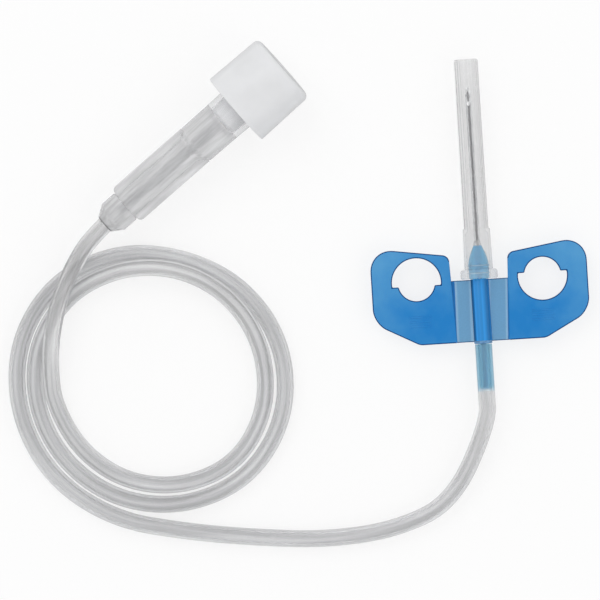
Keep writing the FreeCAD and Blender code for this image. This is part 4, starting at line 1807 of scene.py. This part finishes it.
@dataclass
class Tubing:
    """The clear tube, laid along a spline whose control points are the CAD route's corners.

    Attributes:
        lying: Height of the tube's middle where it lies on the floor.
        coil_start: Heading of the coil's first point from its centre, in degrees.
        coil_step: Turn from one point of the coil to the next, clockwise.
        coil: Reach from the coil's centre, and height above lying, of each of its points.
        lead: Points between barrel and coil, with their height above lying.
        tail: Points between coil and connector, with their height above lying.
        start: Where the tube leaves the barrel.
        spigot: Length of the tube on the spigot.
        lead_straight: How far behind the barrel the route stays straight.
        tail_straight: How far before the connector it is straight again.
        socket: Length of the tube in the connector's socket.
        blue_past: How far past the spigot its colour shows in the tube.
        blue_side: Faces further to the left than this belong to the coil.
        bond_from: Where the part of the tube in the socket starts.
        bond_reach: How far past the tube's end a face of that part may lie.
    """

    outer_r: float = 1.025
    wall: float = 0.425
    lying: float = 1.05
    coil_centre: Ring = (-39.88, -16.13)
    coil_start: float = 251.4
    coil_step: float = 30.0
    coil: tuple[Ring, ...] = (
        (17.45, 0), (16.95, 0), (16.72, 0), (16.85, 0), (16.65, 0), (15.88, 0),
        (15.20, 0), (15.63, 0), (16.27, 0), (16.72, 0), (16.68, 0), (15.84, 0),
        (15.14, 0), (14.62, 0), (14.46, 0), (14.60, 0), (14.45, 0.10), (13.95, 1.15),
        (13.77, 1.75), (13.77, 1.15), (13.88, 0.20), (14.22, 0), (14.34, 0), (13.44, 0),
        (12.70, 0), (12.16, 0), (12.13, 0.20))
    lead: tuple[Point, ...] = (
        (-4.75, -33.05, 0.25), (-11.85, -35.95, 0), (-20.20, -36.65, 0),
        (-28.65, -35.85, 0), (-36.55, -34.70, 0))
    tail: tuple[Point, ...] = (
        (-52.00, -14.15, 1.05), (-51.55, -10.10, 2.10), (-50.40, -6.10, 2.32),
        (-48.60, -2.30, 2.37))
    start: Point = (0.0, -14.40, NEEDLE_Z)
    lead_straight: float = 9.40
    spigot: float = 5.50
    tail_straight: float = 2.10
    socket: float = 2.35
    blue_past: float = 0.2
    blue_side: float = -3.0
    bond_from: float = 0.1
    bond_reach: float = 1.5
    span_steps: int = 24
    section_steps: int = 10

    def corners(self, end: Seat) -> list[Vector]:
        """The route's control points in millimetres, from the barrel to the connector.

        Args:
            end: The connector's seat.

        Returns:
            The points in order.
        """
        points = [Vector(self.start) - Vector((0, reach, 0))
                  for reach in (0.0, self.spigot, self.lead_straight)]
        points += [Vector((x, y, self.lying + rise)) for x, y, rise in self.lead]
        for index, (reach, rise) in enumerate(self.coil):
            heading = math.radians(self.coil_start - self.coil_step * index)
            points.append(Vector((self.coil_centre[0] + reach * math.cos(heading),
                                  self.coil_centre[1] + reach * math.sin(heading),
                                  self.lying + rise)))
        points += [Vector((x, y, self.lying + rise)) for x, y, rise in self.tail]
        points += [end.point(0, 0, place) / MM for place in (-self.tail_straight, self.socket)]
        return points

    def spline(self, name: str, points: Sequence[Vector], bevel: float = 0.0
               ) -> bpy.types.Object:
        """A NURBS curve through the route.

        Args:
            name: The new object's name.
            points: Its control points.
            bevel: Radius of its round section, or 0 for a bare line.

        Returns:
            The curve.
        """
        curve = bpy.data.curves.new(name, "CURVE")
        curve.dimensions = "3D"
        curve.resolution_u = self.span_steps
        curve.bevel_depth = bevel
        curve.bevel_resolution = self.section_steps
        curve.use_fill_caps = False
        strand = curve.splines.new("NURBS")
        strand.points.add(len(points) - 1)
        for spot, point in zip(strand.points, points):
            spot.co = (*point, 1)
        strand.order_u = 3
        strand.use_endpoint_u = True
        thing = bpy.data.objects.new(name, curve)
        bpy.context.scene.collection.objects.link(thing)
        return thing

    def tube(self, points: Sequence[Vector]) -> bpy.types.Object:
        """The bored tube along the route.

        Args:
            points: The route's control points.

        Returns:
            The closed tube as a mesh, in millimetres.
        """
        select_only(self.spline("tube", points, self.outer_r))
        bpy.ops.object.convert(target="MESH")
        piece = bpy.context.object
        bpy.ops.object.mode_set(mode="EDIT")
        close_piece()
        apply_modifier(piece, "SOLIDIFY", thickness=self.wall, offset=-1, use_rim=True,
                       use_even_offset=True)
        shade(piece)
        return piece

    def build(self, end: Seat, on_cord: Sequence[bpy.types.Object]) -> list[bpy.types.Object]:
        """Args:
            end: The connector's seat.
            on_cord: The pieces at the tube's far end; not used.

        Returns:
            The tube.
        """
        points = self.corners(end)
        route = self.spline("tube_route", points)
        line = bpy.data.meshes.new_from_object(route)
        bpy.data.objects.remove(route)
        bpy.data.meshes.remove(line)
        piece = self.tube(points)
        rear = self.start[1] - self.spigot - self.blue_past
        mouth = end.point(0, 0, 0) / MM
        along = end.point(0, 0, 1) / MM - mouth
        clad(piece, TUBE_CLEAR,
             (TUBE_BLUE, lambda face: face.center.y > rear and face.center.x > self.blue_side),
             (TUBE_BOND, lambda face: (face.center - mouth).dot(along) > self.bond_from
              and (face.center - mouth).length < self.socket + self.bond_reach))
        settle(piece, Seat((0, 0, 0)), Body.SET, "tubing")
        return [piece]


# Stage


@dataclass(frozen=True)
class Lamp:
    """A square soft lamp that points at the middle of the view.

    Attributes:
        name: The lamp's name.
        spot: Where it hangs.
        size: Its width.
        power: Its power in watts.
    """

    name: str
    spot: Point
    size: float
    power: float

    def hang(self, target: Vector) -> None:
        """Add the lamp and point it.

        Args:
            target: What it points at, in metres.
        """
        data = bpy.data.lights.new(self.name, "AREA")
        data.size = self.size * MM
        data.energy = self.power
        lamp = bpy.data.objects.new(self.name, data)
        bpy.context.scene.collection.objects.link(lamp)
        lamp.location = [value * MM for value in self.spot]
        lamp.rotation_euler = (target - lamp.location).to_track_quat("-Z", "Y").to_euler()


@dataclass
class Studio:
    """Camera, white floor and soft light, as in the photograph.

    Attributes:
        centre: Middle of the photograph on the floor.
        height: The camera's height.
        view_width: What the photograph's width covers on the floor.
        sensor: Width of the camera's sensor.
        clip: Nearest and farthest that the camera sees, in metres.
        lean: How far the needle leans to the left, in degrees.
        floor_size: The floor's width.
        floor_drop: How far the floor lies under the object.
        floor_rough: The floor's roughness.
        floor_glow: How much of the floor's white needs no light.
        surround: Strength of the surround's light.
        lamps: One broad soft lamp from the upper left and a weak one opposite.
    """

    centre: Ring = (-21.6, -7.77)
    height: float = 900.0
    view_width: float = 72.03
    sensor: float = 36.0
    clip: Span = (0.01, 10.0)
    lean: float = 3.58
    floor_size: float = 1400.0
    floor_drop: float = 0.05
    floor_rough: float = 0.9
    floor_glow: float = 0.77
    surround: float = 0.75
    lamps: tuple[Lamp, ...] = (Lamp("key", (-260, 300, 520), 420, 0.75),
                               Lamp("fill", (320, -220, 420), 380, 0.3))

    def spot(self, height: float) -> tuple[float, float, float]:
        """The point in metres at that height over the middle of the view."""
        return self.centre[0] * MM, self.centre[1] * MM, height * MM

    def camera(self) -> None:
        """A long lens straight above, turned so that the needle leans a little left."""
        data = bpy.data.cameras.new("camera")
        data.sensor_width = self.sensor
        data.lens = self.sensor * self.height / self.view_width
        data.clip_start, data.clip_end = self.clip
        thing = bpy.data.objects.new("camera", data)
        bpy.context.scene.collection.objects.link(thing)
        thing.location = self.spot(self.height)
        thing.rotation_euler = (0, 0, math.radians(-self.lean))
        bpy.context.scene.camera = thing

    def white_for_view(self, tree: bpy.types.NodeTree) -> bpy.types.NodeSocket:
        """1 for camera, glossy and transmission rays, 0 for the light on the object.

        Args:
            tree: The node tree that it is used in.

        Returns:
            The value socket.
        """
        path = tree.nodes.new("ShaderNodeLightPath")
        total = path.outputs["Is Camera Ray"]
        for name in ("Is Glossy Ray", "Is Transmission Ray"):
            node = tree.nodes.new("ShaderNodeMath")
            node.operation = "MAXIMUM"
            tree.links.new(total, node.inputs[0])
            tree.links.new(path.outputs[name], node.inputs[1])
            total = node.outputs[0]
        return total

    def world(self) -> None:
        """An even pale surround."""
        world = bpy.data.worlds.new("surround")
        bpy.context.scene.world = world
        world.use_nodes = True
        tree = world.node_tree
        background = tree.nodes["Background"]
        background.inputs["Color"].default_value = (1, 1, 1, 1)
        mix = tree.nodes.new("ShaderNodeMapRange")
        mix.inputs["To Min"].default_value = self.surround
        mix.inputs["To Max"].default_value = 1.0
        tree.links.new(self.white_for_view(tree), mix.inputs["Value"])
        tree.links.new(mix.outputs["Result"], background.inputs["Strength"])

    def floor(self) -> None:
        """A white floor that keeps the object's soft shadow."""
        bpy.ops.object.select_all(action="DESELECT")
        bpy.ops.mesh.primitive_plane_add(size=self.floor_size * MM,
                                         location=self.spot(-self.floor_drop))
        plane = bpy.context.object
        plane.name = plane.data.name = "floor"
        shading = Shading("floor_white")
        shading.set(Base_Color=(1, 1, 1, 1), Roughness=self.floor_rough,
                    Specular_IOR_Level=0.0)
        glow = shading.add("ShaderNodeEmission")
        glow.inputs["Color"].default_value = (1, 1, 1, 1)
        glow.inputs["Strength"].default_value = 1.0
        share = shading.add("ShaderNodeMath", operation="MULTIPLY")
        share.inputs[1].default_value = self.floor_glow
        mix = shading.add("ShaderNodeMixShader")
        shading.link(self.white_for_view(shading.tree), share.inputs[0])
        shading.link(share.outputs[0], mix.inputs[0])
        shading.link(shading.shader.outputs["BSDF"], mix.inputs[1])
        shading.link(glow.outputs["Emission"], mix.inputs[2])
        shading.link(mix.outputs["Shader"], shading.output.inputs["Surface"])
        plane.data.materials.append(shading.material)

    def build(self) -> None:
        """Set the stage."""
        bpy.context.scene.view_settings.view_transform = "Standard"
        self.camera()
        self.world()
        self.floor()
        for lamp in self.lamps:
            lamp.hang(Vector(self.spot(0.0)))


def report(pieces: Sequence[bpy.types.Object]) -> None:
    """Log the faces and finishes of each finished piece.

    Args:
        pieces: The pieces of one sub-assembly.
    """
    for piece in pieces:
        log.info("%s made: %d faces, %d finishes", piece.name, len(piece.data.polygons),
                 len(piece.data.materials))


def main() -> None:
    """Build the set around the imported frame, piece by piece."""
    logging.basicConfig(level=logging.INFO, format="%(name)s: %(message)s")
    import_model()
    Studio().build()
    luer = LuerEnd()
    luer_pieces = luer.build()
    report(luer_pieces)
    report(Tubing().build(luer.seat(), luer_pieces))
    report(NeedleUnit().build())
    report(WingMoulding().build())
    report(NeedleSheath().build())
    bpy.context.view_layer.update()


if __name__ == "__main__":
    main()
